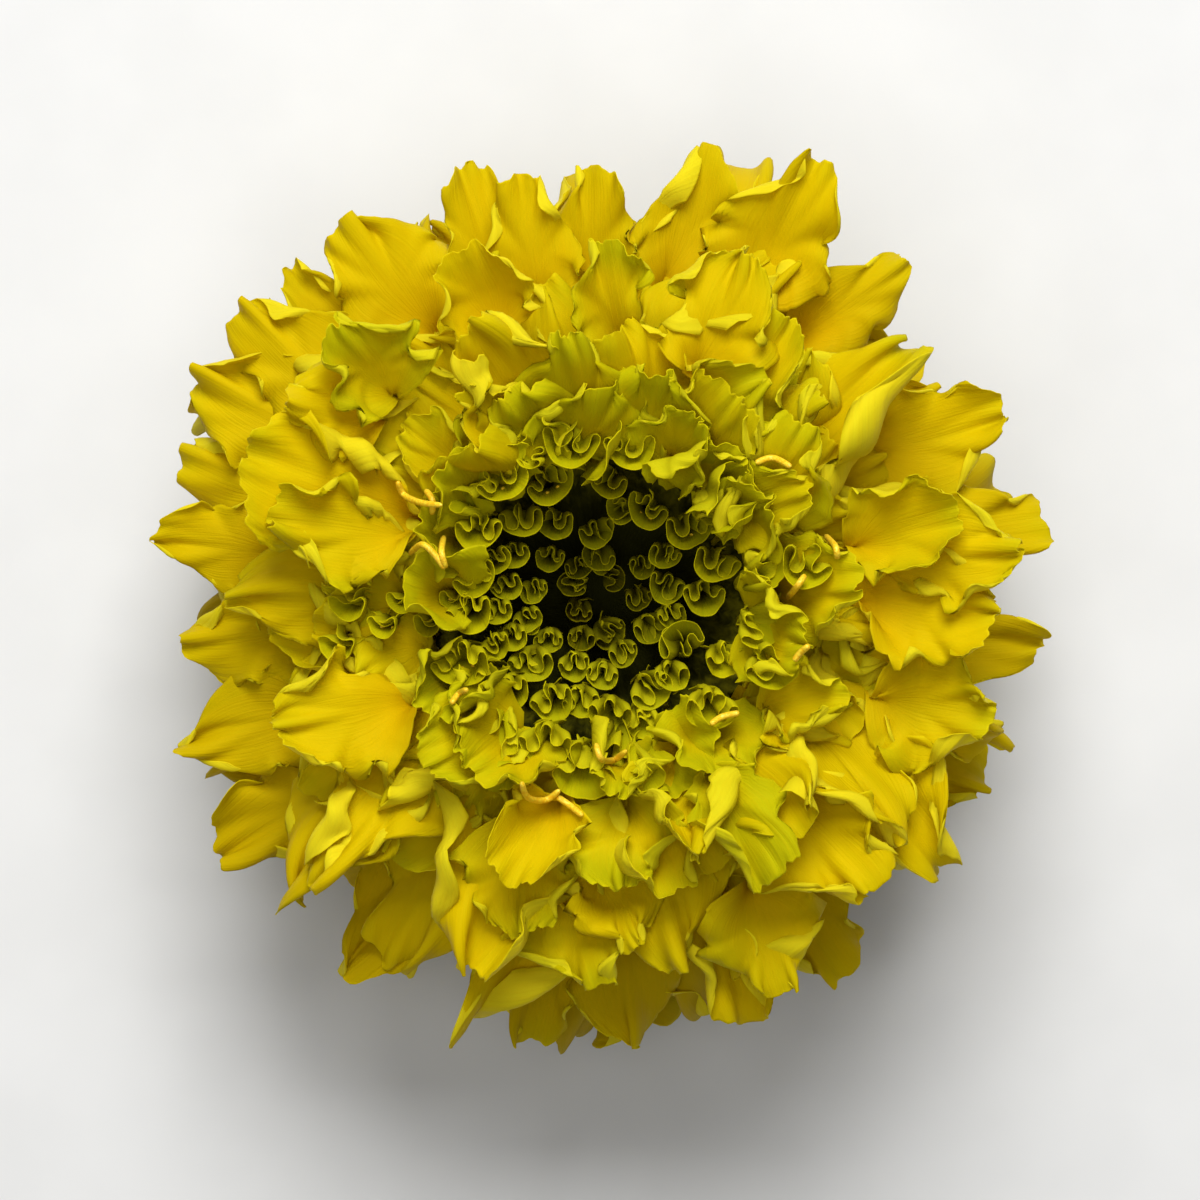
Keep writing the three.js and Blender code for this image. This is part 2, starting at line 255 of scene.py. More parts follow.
@dataclass
class Florets:
    """One row per floret: where it stands, how its sheet is cut, and how it bends, rolls and ruffles."""

    index: Array
    t: Array
    throat: Array
    tip: Array
    upper: Array
    half_width: Array
    bend: Array
    roll_claw: Array
    roll_tip: Array
    skew: Array
    hook: Array
    ruffle: Array
    waves: Array
    twist: Array
    curl: Array
    rounding: Array
    green: Array
    fold_left: Array
    fold_right: Array
    fold_at: Array
    ruffle_from: Array
    spread_at: Array
    closed: Array
    pinch: Array
    rank: Array

    def joined(self, other: "Florets") -> "Florets":
        """These florets and then the others."""
        mine, theirs = vars(self), vars(other)
        return Florets(**{name: np.concatenate([mine[name], theirs[name]]) for name in mine})

    def chosen(self, mask: Array) -> "Florets":
        """The florets that a mask picks."""
        return Florets(**{name: values[mask] for name, values in vars(self).items()})


def onto(point: Array, angle: Array, spread: Array) -> Array:
    """[radius, height] points turned to angles round the axis, with the radius spread."""
    radius = point[..., 0] * spread
    return np.stack([radius * np.cos(angle), radius * np.sin(angle), point[..., 1]], axis=-1)


def age_and_shade(t: Array) -> Array:
    """What a floret's place adds to its green: down to -1 for the oldest, whose darker orange is partly painted
    shade, and up to 2 for the inmost, whose last step brings in a near-black that is mostly painted shade.
    """
    return smooth(0, 0.5, t) - 1 + smooth(0.84, 0.95, t) + smooth(0.92, 0.975, t)


@dataclass(frozen=True)
class Habit:
    """How a floret's shape follows its age t: one value for each tenth of the spiral."""

    half_width: tuple[float, ...] = (8.6, 8.6, 8.5, 8.2, 7.8, 7.4, 6.9, 6.6, 7.6, 7, 4.5)
    bend: tuple[float, ...] = (80, 76, 70, 66, 62, 56, 50, 44, 36, 30, 26)
    roll_claw: tuple[float, ...] = (150, 150, 150, 150, 150, 150, 155, 160, 165, 170, 170)
    roll_tip: tuple[float, ...] = (-12, -6, 0, 8, 16, 26, 40, 62, 92, 112, 118)
    ruffle: tuple[float, ...] = (1.5, 1.5, 1.5, 1.5, 1.5, 1.45, 1.35, 1.1, 0.8, 0.6, 0.5)
    waves: tuple[float, ...] = (9, 9, 9, 9, 9, 9, 10, 11, 12, 14, 14)
    skew: tuple[float, ...] = (0.35, 0.35, 0.35, 0.35, 0.35, 0.35, 0.3, 0.2, 0.2, 0.2, 0.2)
    hook: tuple[float, ...] = (35, 35, 35, 35, 35, 35, 25, 12, 0, 0, 0)
    green: tuple[float, ...] = (0, 0, 0.05, 0.08, 0.12, 0.16, 0.26, 0.42, 0.75, 0.95, 1)
    ruffle_from: tuple[float, ...] = (0.2, 0.2, 0.2, 0.2, 0.2, 0.25, 0.3, 0.4, 0.5, 0.5, 0.5)
    spread_at: tuple[float, ...] = (0.62, 0.62, 0.62, 0.62, 0.62, 0.64, 0.68, 0.76, 0.95, 1.05, 1.05)


@dataclass(frozen=True)
class Head:
    """The whole spiral of florets, worked out as arrays."""

    rule: SpiralRule = SpiralRule()
    habit: Habit = Habit()
    trumpets_from: float = 0.83

    def florets(self) -> Florets:
        """Every floret of the spiral.

        The upper side of a floret looks to the head's axis and up, a trumpet's to the top of the photograph.
        Throat and tip are points of the two profiles, and each floret has its own change of every measure.

        Returns:
            The florets, from the lowest to the middle of the head.
        """
        rule, habit = self.rule, self.habit
        t = rule.places()
        index = np.arange(len(t), dtype=float)
        trumpet = t > self.trumpets_from

        def own(use: Draw) -> Array:
            """This draw of every floret, from -1 to 1."""
            return swing(index, use)

        def usual(values: tuple[float, ...]) -> Array:
            """What is usual at every floret's age."""
            return value_at(values, t)

        angle = index * GOLDEN_ANGLE
        apart = usual(rule.spacing)
        tip_point = rule.tips.at(t)
        stray = np.where(trumpet, 0.15, 0.35)
        side = stray * own(Draw.SIDE) * apart / np.maximum(tip_point[:, 0], apart)
        towards = smooth(16, 36, tip_point[:, 0])
        reach = 1 + 0.06 * own(Draw.REACH) + (rule.reach_towards(angle + side) - 1) * towards
        throat = onto(rule.throats.at(t), angle, np.ones_like(t))
        tip = onto(tip_point, angle + side, reach)
        tip[:, 2] = np.maximum(tip[:, 2] + 1.8 * own(Draw.HEIGHT), 0.8)
        outwards = np.stack([np.cos(angle + side), np.sin(angle + side), np.zeros_like(t)], axis=-1)
        looks = np.where(trumpet[:, None], LIP_BACK, UP - 0.5 * outwards)
        turn = np.radians(np.where(trumpet, 60, 36 - 14 * smooth(0.6, 0.75, t)) * own(Draw.TURN))[:, None]
        folding = np.radians(160) * (1 - smooth(0.58, 0.68, t))
        return Florets(
            index=index,
            t=t,
            throat=throat,
            tip=tip,
            upper=facing(unit(tip - throat), looks, turn),
            half_width=usual(habit.half_width) * (1 + 0.16 * own(Draw.HALF_WIDTH)),
            bend=np.radians(usual(habit.bend) * (1 + 0.3 * own(Draw.BEND))),
            roll_claw=np.radians(usual(habit.roll_claw)),
            roll_tip=np.radians(usual(habit.roll_tip) + np.where(trumpet, 12, 48) * own(Draw.ROLL)),
            skew=usual(habit.skew) * own(Draw.SKEW),
            hook=np.radians(usual(habit.hook) * own(Draw.HOOK)),
            ruffle=usual(habit.ruffle) * (1 + 0.3 * own(Draw.RUFFLE)),
            waves=usual(habit.waves) * (1 + 0.2 * own(Draw.WAVES)),
            twist=np.radians(28) * own(Draw.TWIST),
            curl=np.radians((-32 + 34 * own(Draw.CURL)) * (1 - 0.6 * smooth(0.62, 0.76, t))),
            rounding=np.where(trumpet, 0.08, 0.2) + np.where(trumpet, 0.06, 0.08) * own(Draw.ROUNDING),
            green=np.clip(usual(habit.green) + 0.22 * own(Draw.GREEN), 0, 1) + age_and_shade(t),
            fold_left=folding * smooth(0.55, 0.92, chance(index, Draw.FOLD_LEFT)),
            fold_right=folding * smooth(0.55, 0.92, chance(index, Draw.FOLD_RIGHT)),
            fold_at=0.75 + 0.2 * own(Draw.FOLD_AT),
            ruffle_from=usual(habit.ruffle_from),
            spread_at=usual(habit.spread_at),
            closed=smooth(0.78, 0.84, t + 0.03 * own(Draw.CLOSED)),
            pinch=1.7 + 0.2 * own(Draw.PINCH),
            rank=t,
        )


@dataclass(frozen=True)
class Feature:
    """A floret that stands out in the photograph: where it opens and ends there, and its own form.

    `throat` and `tip` are a pixel and a height in millimetres. The right margin is the one on the right hand of
    a walk from the throat to the tip, seen from above.
    """

    throat: tuple[float, float, float]
    tip: tuple[float, float, float]
    rank: float = 0.62
    half_width: float = 7.5
    bend: float = 35
    roll: float = 20
    fold_left: float = 0
    fold_right: float = 0
    fold_at: float = 0.75
    ruffle: float = 1.25
    waves: float = 9
    twist: float = 0
    curl: float = 0
    lean: float = 0
    green: float = 0.1
    skew: float = 0
    ruffle_from: float = 0.25
    spread_at: float = 0.62
    closed: float = 0
    pinch: float = 1
    rounding: float = 0.2


def valley(throat: tuple, tip: tuple, rank: float, half_width: float, roll: float, green: float) -> Feature:
    """A small rolled floret of the gap between the fans on the left."""
    return Feature(throat, tip, rank, half_width, 10, roll, closed=1, spread_at=1, green=green)


PHOTO_FLORETS: dict[str, Feature] = {
    "left_upper_fan": Feature(
        (447, 524, 30), (250, 462, 38), 0.62, 8.4, roll=26, fold_right=190, fold_at=0.7, ruffle=0.8
    ),
    "left_middle_fan": Feature(
        (455, 552, 30), (274, 526, 38.5), 0.64, 6.8, bend=30, roll=20, fold_right=205, fold_at=0.56, green=0.22
    ),
    "left_under_fan": Feature((425, 592, 21), (228, 598, 31), 0.5, 6.2, bend=50, roll=4, green=0.08),
    "left_lower_fan": Feature(
        (440, 702, 30), (280, 724, 38), 0.64, 7.4, bend=30, roll=14, fold_right=170, fold_at=0.62, green=0.05
    ),
    "left_low_floret": Feature((440, 640, 21), (300, 668, 27), 0.35, 7, bend=50, roll=0, green=0.1),
    "left_horn": Feature((330, 560, 22), (152, 542, 26), 0.3, 5, bend=40, roll=10, green=0),
    "top_horn": Feature((650, 330, 23), (702, 148, 29), 0.3, 5.2, bend=45, roll=30, green=0, rounding=0.3),
    "top_small_horn": Feature(
        (590, 340, 24), (592, 172, 30), 0.32, 4.2, bend=45, roll=15, green=0, rounding=0.1
    ),
    "top_right_lobe": Feature(
        (735, 330, 24), (812, 163, 31), 0.36, 6.6, bend=60, roll=-30, green=0.1, rounding=0.25
    ),
    "right_top_horn": Feature(
        (770, 360, 23), (906, 262, 27), 0.28, 4.8, bend=40, roll=30, green=0, rounding=0.3
    ),
    "right_top_low_horn": Feature((820, 470, 23), (940, 388, 25.5), 0.3, 5, bend=50, roll=0, green=0),
    "top_left_lobe": Feature((540, 345, 24), (522, 180, 30), 0.34, 5.6, bend=50, roll=30, green=0.05),
    "top_far_left_lobe": Feature((450, 360, 23), (345, 222, 29), 0.3, 6.8, bend=50, roll=10, green=0.1),
    "left_top_lobe": Feature((420, 400, 22), (290, 270, 26), 0.26, 4.4, bend=50, roll=15, green=0),
    "right_low_horn": Feature((800, 640, 20), (1046, 640, 23), 0.2, 5.4, bend=50, roll=10, green=0),
    "bottom_left_lobe": Feature((480, 790, 20), (340, 980, 22), 0.2, 5.8, bend=45, roll=-10, green=0.05),
    "rim_right_upper": Feature((830, 560, 23), (1048, 528, 26), 0.31, 6.8, bend=55, roll=-6, green=0),
    "rim_right_top": Feature((820, 480, 23), (1004, 418, 27), 0.31, 6.4, bend=50, roll=6, green=0.1),
    "rim_top_small_horn": Feature(
        (520, 360, 23), (459, 170, 27), 0.3, 4, bend=45, roll=20, green=0, rounding=0.1
    ),
    "rim_left_upper_lobe": Feature((400, 450, 23), (240, 305, 28), 0.32, 6.6, bend=55, roll=0, green=0),
    "rim_left_top_lobe": Feature((390, 480, 23), (190, 372, 27), 0.31, 7, bend=55, roll=-6, green=0.05),
    "rim_left_lobe": Feature((380, 530, 22), (179, 452, 25), 0.28, 6, bend=50, roll=0, green=0),
    "rim_left_middle": Feature((390, 620, 22), (177, 646, 25), 0.3, 6, bend=50, roll=-6, green=0.05),
    "rim_left_low_horn": Feature((380, 690, 21), (176, 752, 24), 0.26, 5.6, bend=50, roll=6, green=0),
    "rim_left_bottom_lobe": Feature((410, 740, 20), (221, 862, 22), 0.22, 6.4, bend=55, roll=-6, green=0),
    "rim_bottom_lobe": Feature((560, 840, 20), (520, 1048, 22), 0.22, 6.2, bend=55, roll=-4, green=0),
    "rim_bottom_middle": Feature((605, 840, 20), (632, 1055, 23), 0.24, 6.6, bend=55, roll=-10, green=0),
    "rim_bottom_right": Feature((720, 820, 20), (846, 984, 22), 0.22, 6.4, bend=55, roll=0, green=0.1),
    "rim_right_bottom": Feature((800, 730, 21), (992, 795, 24), 0.26, 6.6, bend=55, roll=0, green=0.05),
    "right_broad_fan": Feature(
        (830, 602, 30), (992, 612, 37), 0.62, 7.6, bend=30, roll=22, fold_right=60, fold_at=0.5, green=0
    ),
    "right_upper_fan": Feature(
        (845, 560, 30), (1012, 556, 38.5), 0.64, 6.8, bend=25, roll=12, fold_right=165, fold_at=0.62, green=0.15
    ),
    "right_arched_fan": Feature(
        (822, 548, 30), (952, 520, 39), 0.65, 6.2, bend=22, roll=86, green=0.25, ruffle=0.6
    ),
    "right_boat": Feature((733, 705, 31), (842, 706, 38.5), 0.68, 6, bend=25, roll=55, green=0.3),
    "right_low_fan": Feature((850, 690, 27), (988, 720, 34), 0.52, 7.8, bend=45, roll=4, green=0.2),
    "bottom_boat": Feature((577, 775, 32), (505, 878, 41), 0.69, 5.6, bend=16, roll=84, green=0, ruffle=0.5),
    "bottom_left_wall": Feature(
        (520, 800, 30), (528, 935, 37), 0.62, 6.8, bend=50, roll=-20, green=0.35, fold_left=150
    ),
    "bottom_green_lip": Feature((622, 795, 33), (619, 890, 37.5), 0.68, 6.6, bend=65, roll=14, green=0.55),
    "bottom_right_fan": Feature((752, 765, 30), (862, 892, 38), 0.62, 8.2, roll=44, fold_left=60, green=0),
    "bottom_right_strap": Feature(
        (706, 755, 31), (772, 878, 41), 0.69, 6.6, bend=24, roll=70, green=0.6, ruffle=0.7
    ),
    "bottom_hanging_tip": Feature(
        (748, 870, 28), (782, 992, 33), 0.5, 6.4, bend=64, roll=-44, green=0.2, rounding=0.3
    ),
    "bottom_bright_wall": Feature((590, 868, 28), (645, 942, 36), 0.58, 6.4, bend=30, roll=60, green=0),
    "bottom_folded_fan": Feature(
        (560, 865, 27), (597, 985, 33), 0.5, 7.2, bend=60, roll=10, fold_left=120, fold_at=0.85, green=0.3
    ),
    "top_left_boat": Feature(
        (507, 345, 30), (466, 260, 39), 0.66, 5.8, bend=20, roll=76, green=0, ruffle=0.6
    ),
    "top_twisted_strap": Feature(
        (628, 385, 31), (602, 252, 40), 0.68, 5, bend=30, roll=36, fold_right=150, fold_at=0.6, green=0.3
    ),
    "top_broad_fan": Feature(
        (690, 395, 30), (742, 258, 39), 0.63, 7.6, bend=40, roll=10,
        fold_left=130, fold_at=0.85, twist=14, green=0.12,
    ),
    "top_left_cup": Feature((402, 400, 30), (345, 332, 41), 0.68, 6.6, bend=30, roll=72, green=0.55),
    "top_left_orange_boat": Feature((395, 425, 30), (296, 396, 38), 0.63, 6.4, bend=25, roll=58, green=0),
    "valley_floret_1": valley((385, 606, 27), (352, 606, 36), 0.83, 6.2, 105, 0.8),
    "valley_floret_2": valley((415, 622, 27), (386, 626, 36), 0.84, 5.2, 112, 1),
    "valley_floret_3": valley((425, 602, 27), (404, 602, 35), 0.85, 5, 112, 1),
    "valley_floret_4": valley((448, 618, 27), (430, 625, 35.5), 0.86, 5, 112, 1),
    "valley_floret_5": valley((375, 636, 26), (340, 648, 35), 0.83, 5.8, 95, 0.8),
    "valley_floret_6": valley((470, 600, 27), (456, 598, 35), 0.87, 5, 115, 1),
}


TRUMPET_MOUTHS: dict[str, tuple[float, float, float, float]] = {
    "top_great": (572, 448, 1.12, -10),
    "top_right": (630, 452, 1, 0),
    "top_left_far": (504, 482, 1, 35),
    "top_left_near": (549, 486, 1.02, 30),
    "left_pointed": (480, 532, 0.95, 0),
    "upper_left": (523, 520, 0.95, 10),
    "upper_middle": (556, 524, 0.95, 0),
    "upper_inner": (595, 533, 0.95, 20),
    "upper_right": (649, 512, 1, -30),
    "upper_right_far": (686, 530, 1.05, 0),
    "right_upper": (714, 564, 1, -20),
    "right_inner": (667, 588, 1, -20),
    "right_middle": (703, 598, 1, 0),
    "right_round": (682, 647, 1.1, 200),
    "right_far_upper": (800, 568, 1, -30),
    "right_far": (757, 624, 1, 45),
    "right_far_great": (768, 664, 1.1, 30),
    "left_upper": (475, 579, 0.95, 30),
    "left_middle": (472, 614, 1, 20),
    "left_great": (465, 662, 1.1, 15),
    "lower_left": (532, 662, 1.05, 10),
    "lower_left_far": (553, 702, 1, 20),
    "bottom_left": (548, 742, 1.05, 0),
    "bottom_middle": (611, 714, 1, 0),
    "lower_right": (649, 689, 1, 40),
    "lower_inner": (650, 628, 0.95, 20),
    "lower_right_far": (708, 706, 1, -10),
    "top_upright": (533, 457, 0.7, -60),
    "inner_top": (610, 484, 0.85, -20),
    "inner_top_right": (622, 512, 0.75, -50),
    "inner_top_left": (514, 556, 0.75, 20),
    "inner_top_middle": (550, 560, 0.8, -10),
    "inner_top_near": (578, 568, 0.75, 10),
    "inner_left_upper": (496, 562, 0.7, 40),
    "inner_left": (508, 588, 0.75, 30),
    "inner_left_near": (533, 592, 0.75, 10),
    "inner_left_middle": (498, 612, 0.7, 20),
    "inner_left_deep": (527, 620, 0.75, 30),
    "inner_left_lower": (512, 638, 0.75, 10),
    "inner_left_low": (496, 648, 0.7, 30),
    "inner_bottom_left": (548, 642, 0.75, 0),
    "inner_bottom": (574, 668, 0.85, 10),
    "inner_bottom_near": (582, 640, 0.75, 0),
    "inner_bottom_middle": (603, 676, 0.8, -10),
    "inner_bottom_low": (582, 702, 0.85, 10),
    "inner_bottom_right": (622, 655, 0.8, 20),
    "inner_low_left": (512, 692, 0.85, 20),
    "inner_low_right": (672, 676, 0.8, 10),
    "inner_right_upper": (664, 556, 0.8, -20),
    "inner_right_near": (642, 568, 0.75, 0),
    "inner_right_deep": (638, 600, 0.75, 10),
    "inner_right_low": (672, 618, 0.75, 20),
    "inner_right_far": (722, 660, 0.85, 10),
}


def trumpet(mouth: tuple[float, float, float, float]) -> Feature:
    """A trumpet of the photograph; its height, age and width follow from how far out its mouth is.

    Args:
        mouth: its pixel, its size as a share of the usual one, and how far its lip is turned from the lower
            side of the photograph, in degrees.

    Returns:
        The floret.
    """
    x, y, size, lean = mouth
    out = math.hypot(x - PHOTO_CENTRE[0], y - PHOTO_CENTRE[1])
    height = float(np.interp(out, (0, 88, 165, 220), (19, 31, 40, 42)))
    base = (PHOTO_CENTRE[0] + 0.88 * (x - PHOTO_CENTRE[0]), PHOTO_CENTRE[1] + 0.88 * (y - PHOTO_CENTRE[1]))
    return Feature(
        throat=(*base, height - 11),
        tip=(x, y, height),
        rank=float(np.interp(out, (0, 88, 148, 220), (0.98, 0.92, 0.84, 0.835))),
        half_width=size * float(np.interp(out, (40, 100, 165), (6.4, 7.4, 8.6))),
        bend=10,
        roll=float(np.interp(out, (60, 165), (115, 102))),
        curl=-18,
        lean=lean,
        green=float(np.interp(out, (90, 200), (1, 0.75))),
        closed=1,
        pinch=1.75,
        spread_at=1.02,
        ruffle_from=0.45,
        rounding=0.08,
    )


def photo_florets(features: dict[str, Feature]) -> Florets:
    """The florets of the photograph as rows of arrays, with numbers that the spiral doesn't reach.

    Args:
        features: the open ones; the trumpets are added to them.

    Returns:
        The florets.
    """
    kept = [*features.values(), *map(trumpet, TRUMPET_MOUTHS.values())]

    def column(name: str) -> Array:
        """One value of every feature."""
        return np.array([float(getattr(feature, name)) for feature in kept])

    throat = np.stack([photo_point(feature.throat[:2], feature.throat[2]) for feature in kept])
    tip = np.stack([photo_point(feature.tip[:2], feature.tip[2]) for feature in kept])
    flat = unit((tip + throat) * np.array([1, 1, 0]))
    looks = np.where(column("closed")[:, None] > 0.5, LIP_BACK, UP - 0.3 * flat)
    same = "half_width skew ruffle waves rounding fold_at ruffle_from spread_at closed pinch rank".split()
    turns = "bend twist curl fold_left fold_right".split()
    return Florets(
        index=FIRST_PHOTO_FLORET + np.arange(len(kept)),
        t=column("rank"),
        throat=throat,
        tip=tip,
        upper=facing(unit(tip - throat), looks, np.radians(column("lean"))[:, None]),
        roll_claw=np.full(len(kept), np.radians(150)),
        roll_tip=np.radians(column("roll")),
        hook=np.zeros(len(kept)),
        green=column("green") + age_and_shade(column("rank")),
        **{name: column(name) for name in same},
        **{name: np.radians(column(name)) for name in turns},
    )


@dataclass(frozen=True)
class RoomRule:
    """Which florets of the spiral give way to the photograph's own, and which of those stay on underneath."""

    blade_from: float = 0.2
    blade_to: float = 1.02
    blade_share: float = 0.8
    older_by: float = 0.04
    rank_weight: float = 60
    mouth_share: float = 0.29
    mouths_from: float = 0.7
    tuck_from: float = 0.42
    tuck_to: float = 0.62
    drawn_in: float = 0.87
    let_down: float = 5.5
    more_down: float = 4
    highest_rank: float = 0.55
    rank_below: float = 0.06

    def stays(self, florets: Florets, features: Florets) -> Array:
        """Which florets of the spiral stay.

        A floret goes if its tip stands on the blade of an open feature, beyond `blade_from` of its length and
        within `blade_share` of its half width, and it is not older; if it is the one whose tip is nearest to an
        open feature's, where a difference of rank counts as distance; and if it is young and its blade comes
        within `mouth_share` of a trumpet's half width of the trumpet's mouth.

        Args:
            florets: the spiral's.
            features: the photograph's.

        Returns:
            True for each floret that stays.
        """
        is_open = features.closed < 0.5
        start = features.throat[None, :, :2]
        line = features.tip[None, :, :2] - start
        point = florets.tip[:, None, :2] - start
        length = np.linalg.norm(line, axis=-1)
        along = (point * line).sum(-1) / length**2
        aside = np.abs(point[..., 0] * line[..., 1] - point[..., 1] * line[..., 0]) / length
        younger = florets.rank[:, None] > features.rank[None] - self.older_by
        beside = aside < self.blade_share * features.half_width
        on_blade = (along > self.blade_from) & (along < self.blade_to) & beside & younger & is_open
        apart = np.linalg.norm(florets.tip[:, None] - features.tip[None], axis=-1)
        apart = apart + self.rank_weight * np.abs(florets.rank[:, None] - features.rank[None])
        taken = np.zeros(len(florets.t), bool)
        taken[np.argmin(apart[:, is_open], axis=0)] = True
        blades = florets.throat + np.array([0.7, 0.85, 1])[:, None, None] * (florets.tip - florets.throat)
        gap = np.linalg.norm(blades[:, :, None, :2] - features.tip[:, :2], axis=-1).min(axis=0)
        crowded = (gap < self.mouth_share * features.half_width) & (features.closed > 0.5)
        crowded &= florets.rank[:, None] > self.mouths_from
        return ~(on_blade.any(axis=1) | taken | crowded.any(axis=1))

    def tucked(self, florets: Florets) -> Florets:
        """Florets of the shoulder that gave way, moved under the others so that no gap is left.

        Args:
            florets: the ones that gave way.

        Returns:
            Those between two places, with tips drawn in and let down, the younger ones further.
        """
        under = florets.chosen((florets.t > self.tuck_from) & (florets.t < self.tuck_to))
        tip = under.tip * np.array([self.drawn_in, self.drawn_in, 1])
        tip[:, 2] -= self.let_down + self.more_down * smooth(0.5, 0.6, under.t)
        rank = np.minimum(under.rank, self.highest_rank) - self.rank_below
        return Florets(**{**vars(under), "tip": tip, "rank": rank})


@dataclass(frozen=True)
class SheetGrid:
    """How finely a floret's sheet is cut: rows from throat to tip, and columns across."""

    rows: int
    columns: int

    def u(self) -> Array:
        """Places along the sheet, closer together towards the tip."""
        return 1 - (1 - np.linspace(0, 1, self.rows)) ** 1.35

    def v(self) -> Array:
        """Places across the sheet, from -1 to 1."""
        return np.linspace(-1, 1, self.columns)


def per(values: Array) -> Array:
    """One number for each floret, for use on its rows and columns."""
    return values[:, None, None]


def wave(florets: Florets, place: Array, pitch: Array | float, use: Draw) -> Array:
    """A sine of a place on the sheets, which starts elsewhere on every floret."""
    return np.sin(pitch * place + 6.3 * per(chance(florets.index, use)))


def fringe(florets: Florets) -> Array:
    """How deep the fine teeth of the margin are: a third on older florets, full on young ones."""
    return per(0.35 + 0.65 * smooth(0.35, 0.6, florets.rank))


def places_along(florets: Florets, u: Array, v: Array) -> Array:
    """How far along its floret each point is: less than u where the margin rounds off or is notched.

    Args:
        florets: the florets.
        u: places along, 0 .. 1.
        v: places across, -1 .. 1.

    Returns:
        Places [floret, row, column].
    """
    pitch = 8 + 4 * per(chance(florets.index, Draw.NOTCH_PITCH))
    fine_pitch = 31 + 9 * per(chance(florets.index, Draw.FRINGE_PITCH))
    notch = 0.02 * wave(florets, v, pitch, Draw.NOTCHES)
    notch = notch + 0.011 * fringe(florets) * wave(florets, v, fine_pitch, Draw.FRINGE)
    return u * (1 - per(florets.rounding) * np.abs(v) ** 2.6 + notch * u**4)


@dataclass(frozen=True)
class Arc:
    """The middle lines of sheets at places along them: how far forwards, how high, at what angle, how long."""

    forward: Array
    lift: Array
    bearing: Array
    length: Array

    @classmethod
    def of(cls, florets: Florets, along: Array, count: int = 65) -> "Arc":
        """The middle lines of florets.

        A line's angle falls evenly by `bend`, and changes by `curl` near its end. The line is the running sum
        of the angle's cosine and sine, turned and stretched so that it ends at the tip.

        Args:
            florets: the florets.
            along: places [floret, row, column] along them.
            count: how many points each line is worked out at.

        Returns:
            The lines at those places.
        """
        reach = np.linalg.norm(florets.tip - florets.throat, axis=-1)
        steps = np.linspace(0, 1, count)
        angle = florets.bend[:, None] * (0.5 - steps) + florets.curl[:, None] * steps**4
        stretch = np.stack([np.cos(angle), np.sin(angle)], axis=-1)
        total = np.cumsum((stretch[:, 1:] + stretch[:, :-1]) / 2, axis=1)
        middle = np.concatenate([np.zeros((len(reach), 1, 2)), total], axis=1) / (count - 1)
        end = middle[:, -1]
        tilt = np.arctan2(end[:, 1], end[:, 0])
        scale = reach / np.linalg.norm(end, axis=-1)
        cos, sin = np.cos(tilt)[:, None], np.sin(tilt)[:, None]
        forward = (middle[..., 0] * cos + middle[..., 1] * sin) * scale[:, None]
        lift = (middle[..., 1] * cos - middle[..., 0] * sin) * scale[:, None]
        place = np.clip(along, 0, 1) * (count - 1)
        low = np.minimum(place.astype(int), count - 2)
        share = place - low
        row = np.arange(len(reach))[:, None, None]

        def at_places(values: Array) -> Array:
            """Values of the lines, straight between their points."""
            return values[row, low] * (1 - share) + values[row, low + 1] * share

        return cls(at_places(forward), at_places(lift), at_places(angle - tilt[:, None]), per(scale))


def row_width(florets: Florets, u: Array) -> Array:
    """Half the width of each row: narrow at the claw, full at `spread_at`; a trumpet flares near its lip.

    Args:
        florets: the florets.
        u: places along, 0 .. 1.

    Returns:
        Widths [floret, row, 1] in millimetres.
    """
    spread = smooth(0, 1, (u - 0.02) / (per(florets.spread_at) - 0.02))
    flared = 0.72 * u**1.8 + 0.52 * smooth(0.7, 1, u)
    spread = spread + (flared - spread) * per(florets.closed)
    return per(florets.half_width) * (0.13 + 0.87 * spread * (1 - 0.08 * u))


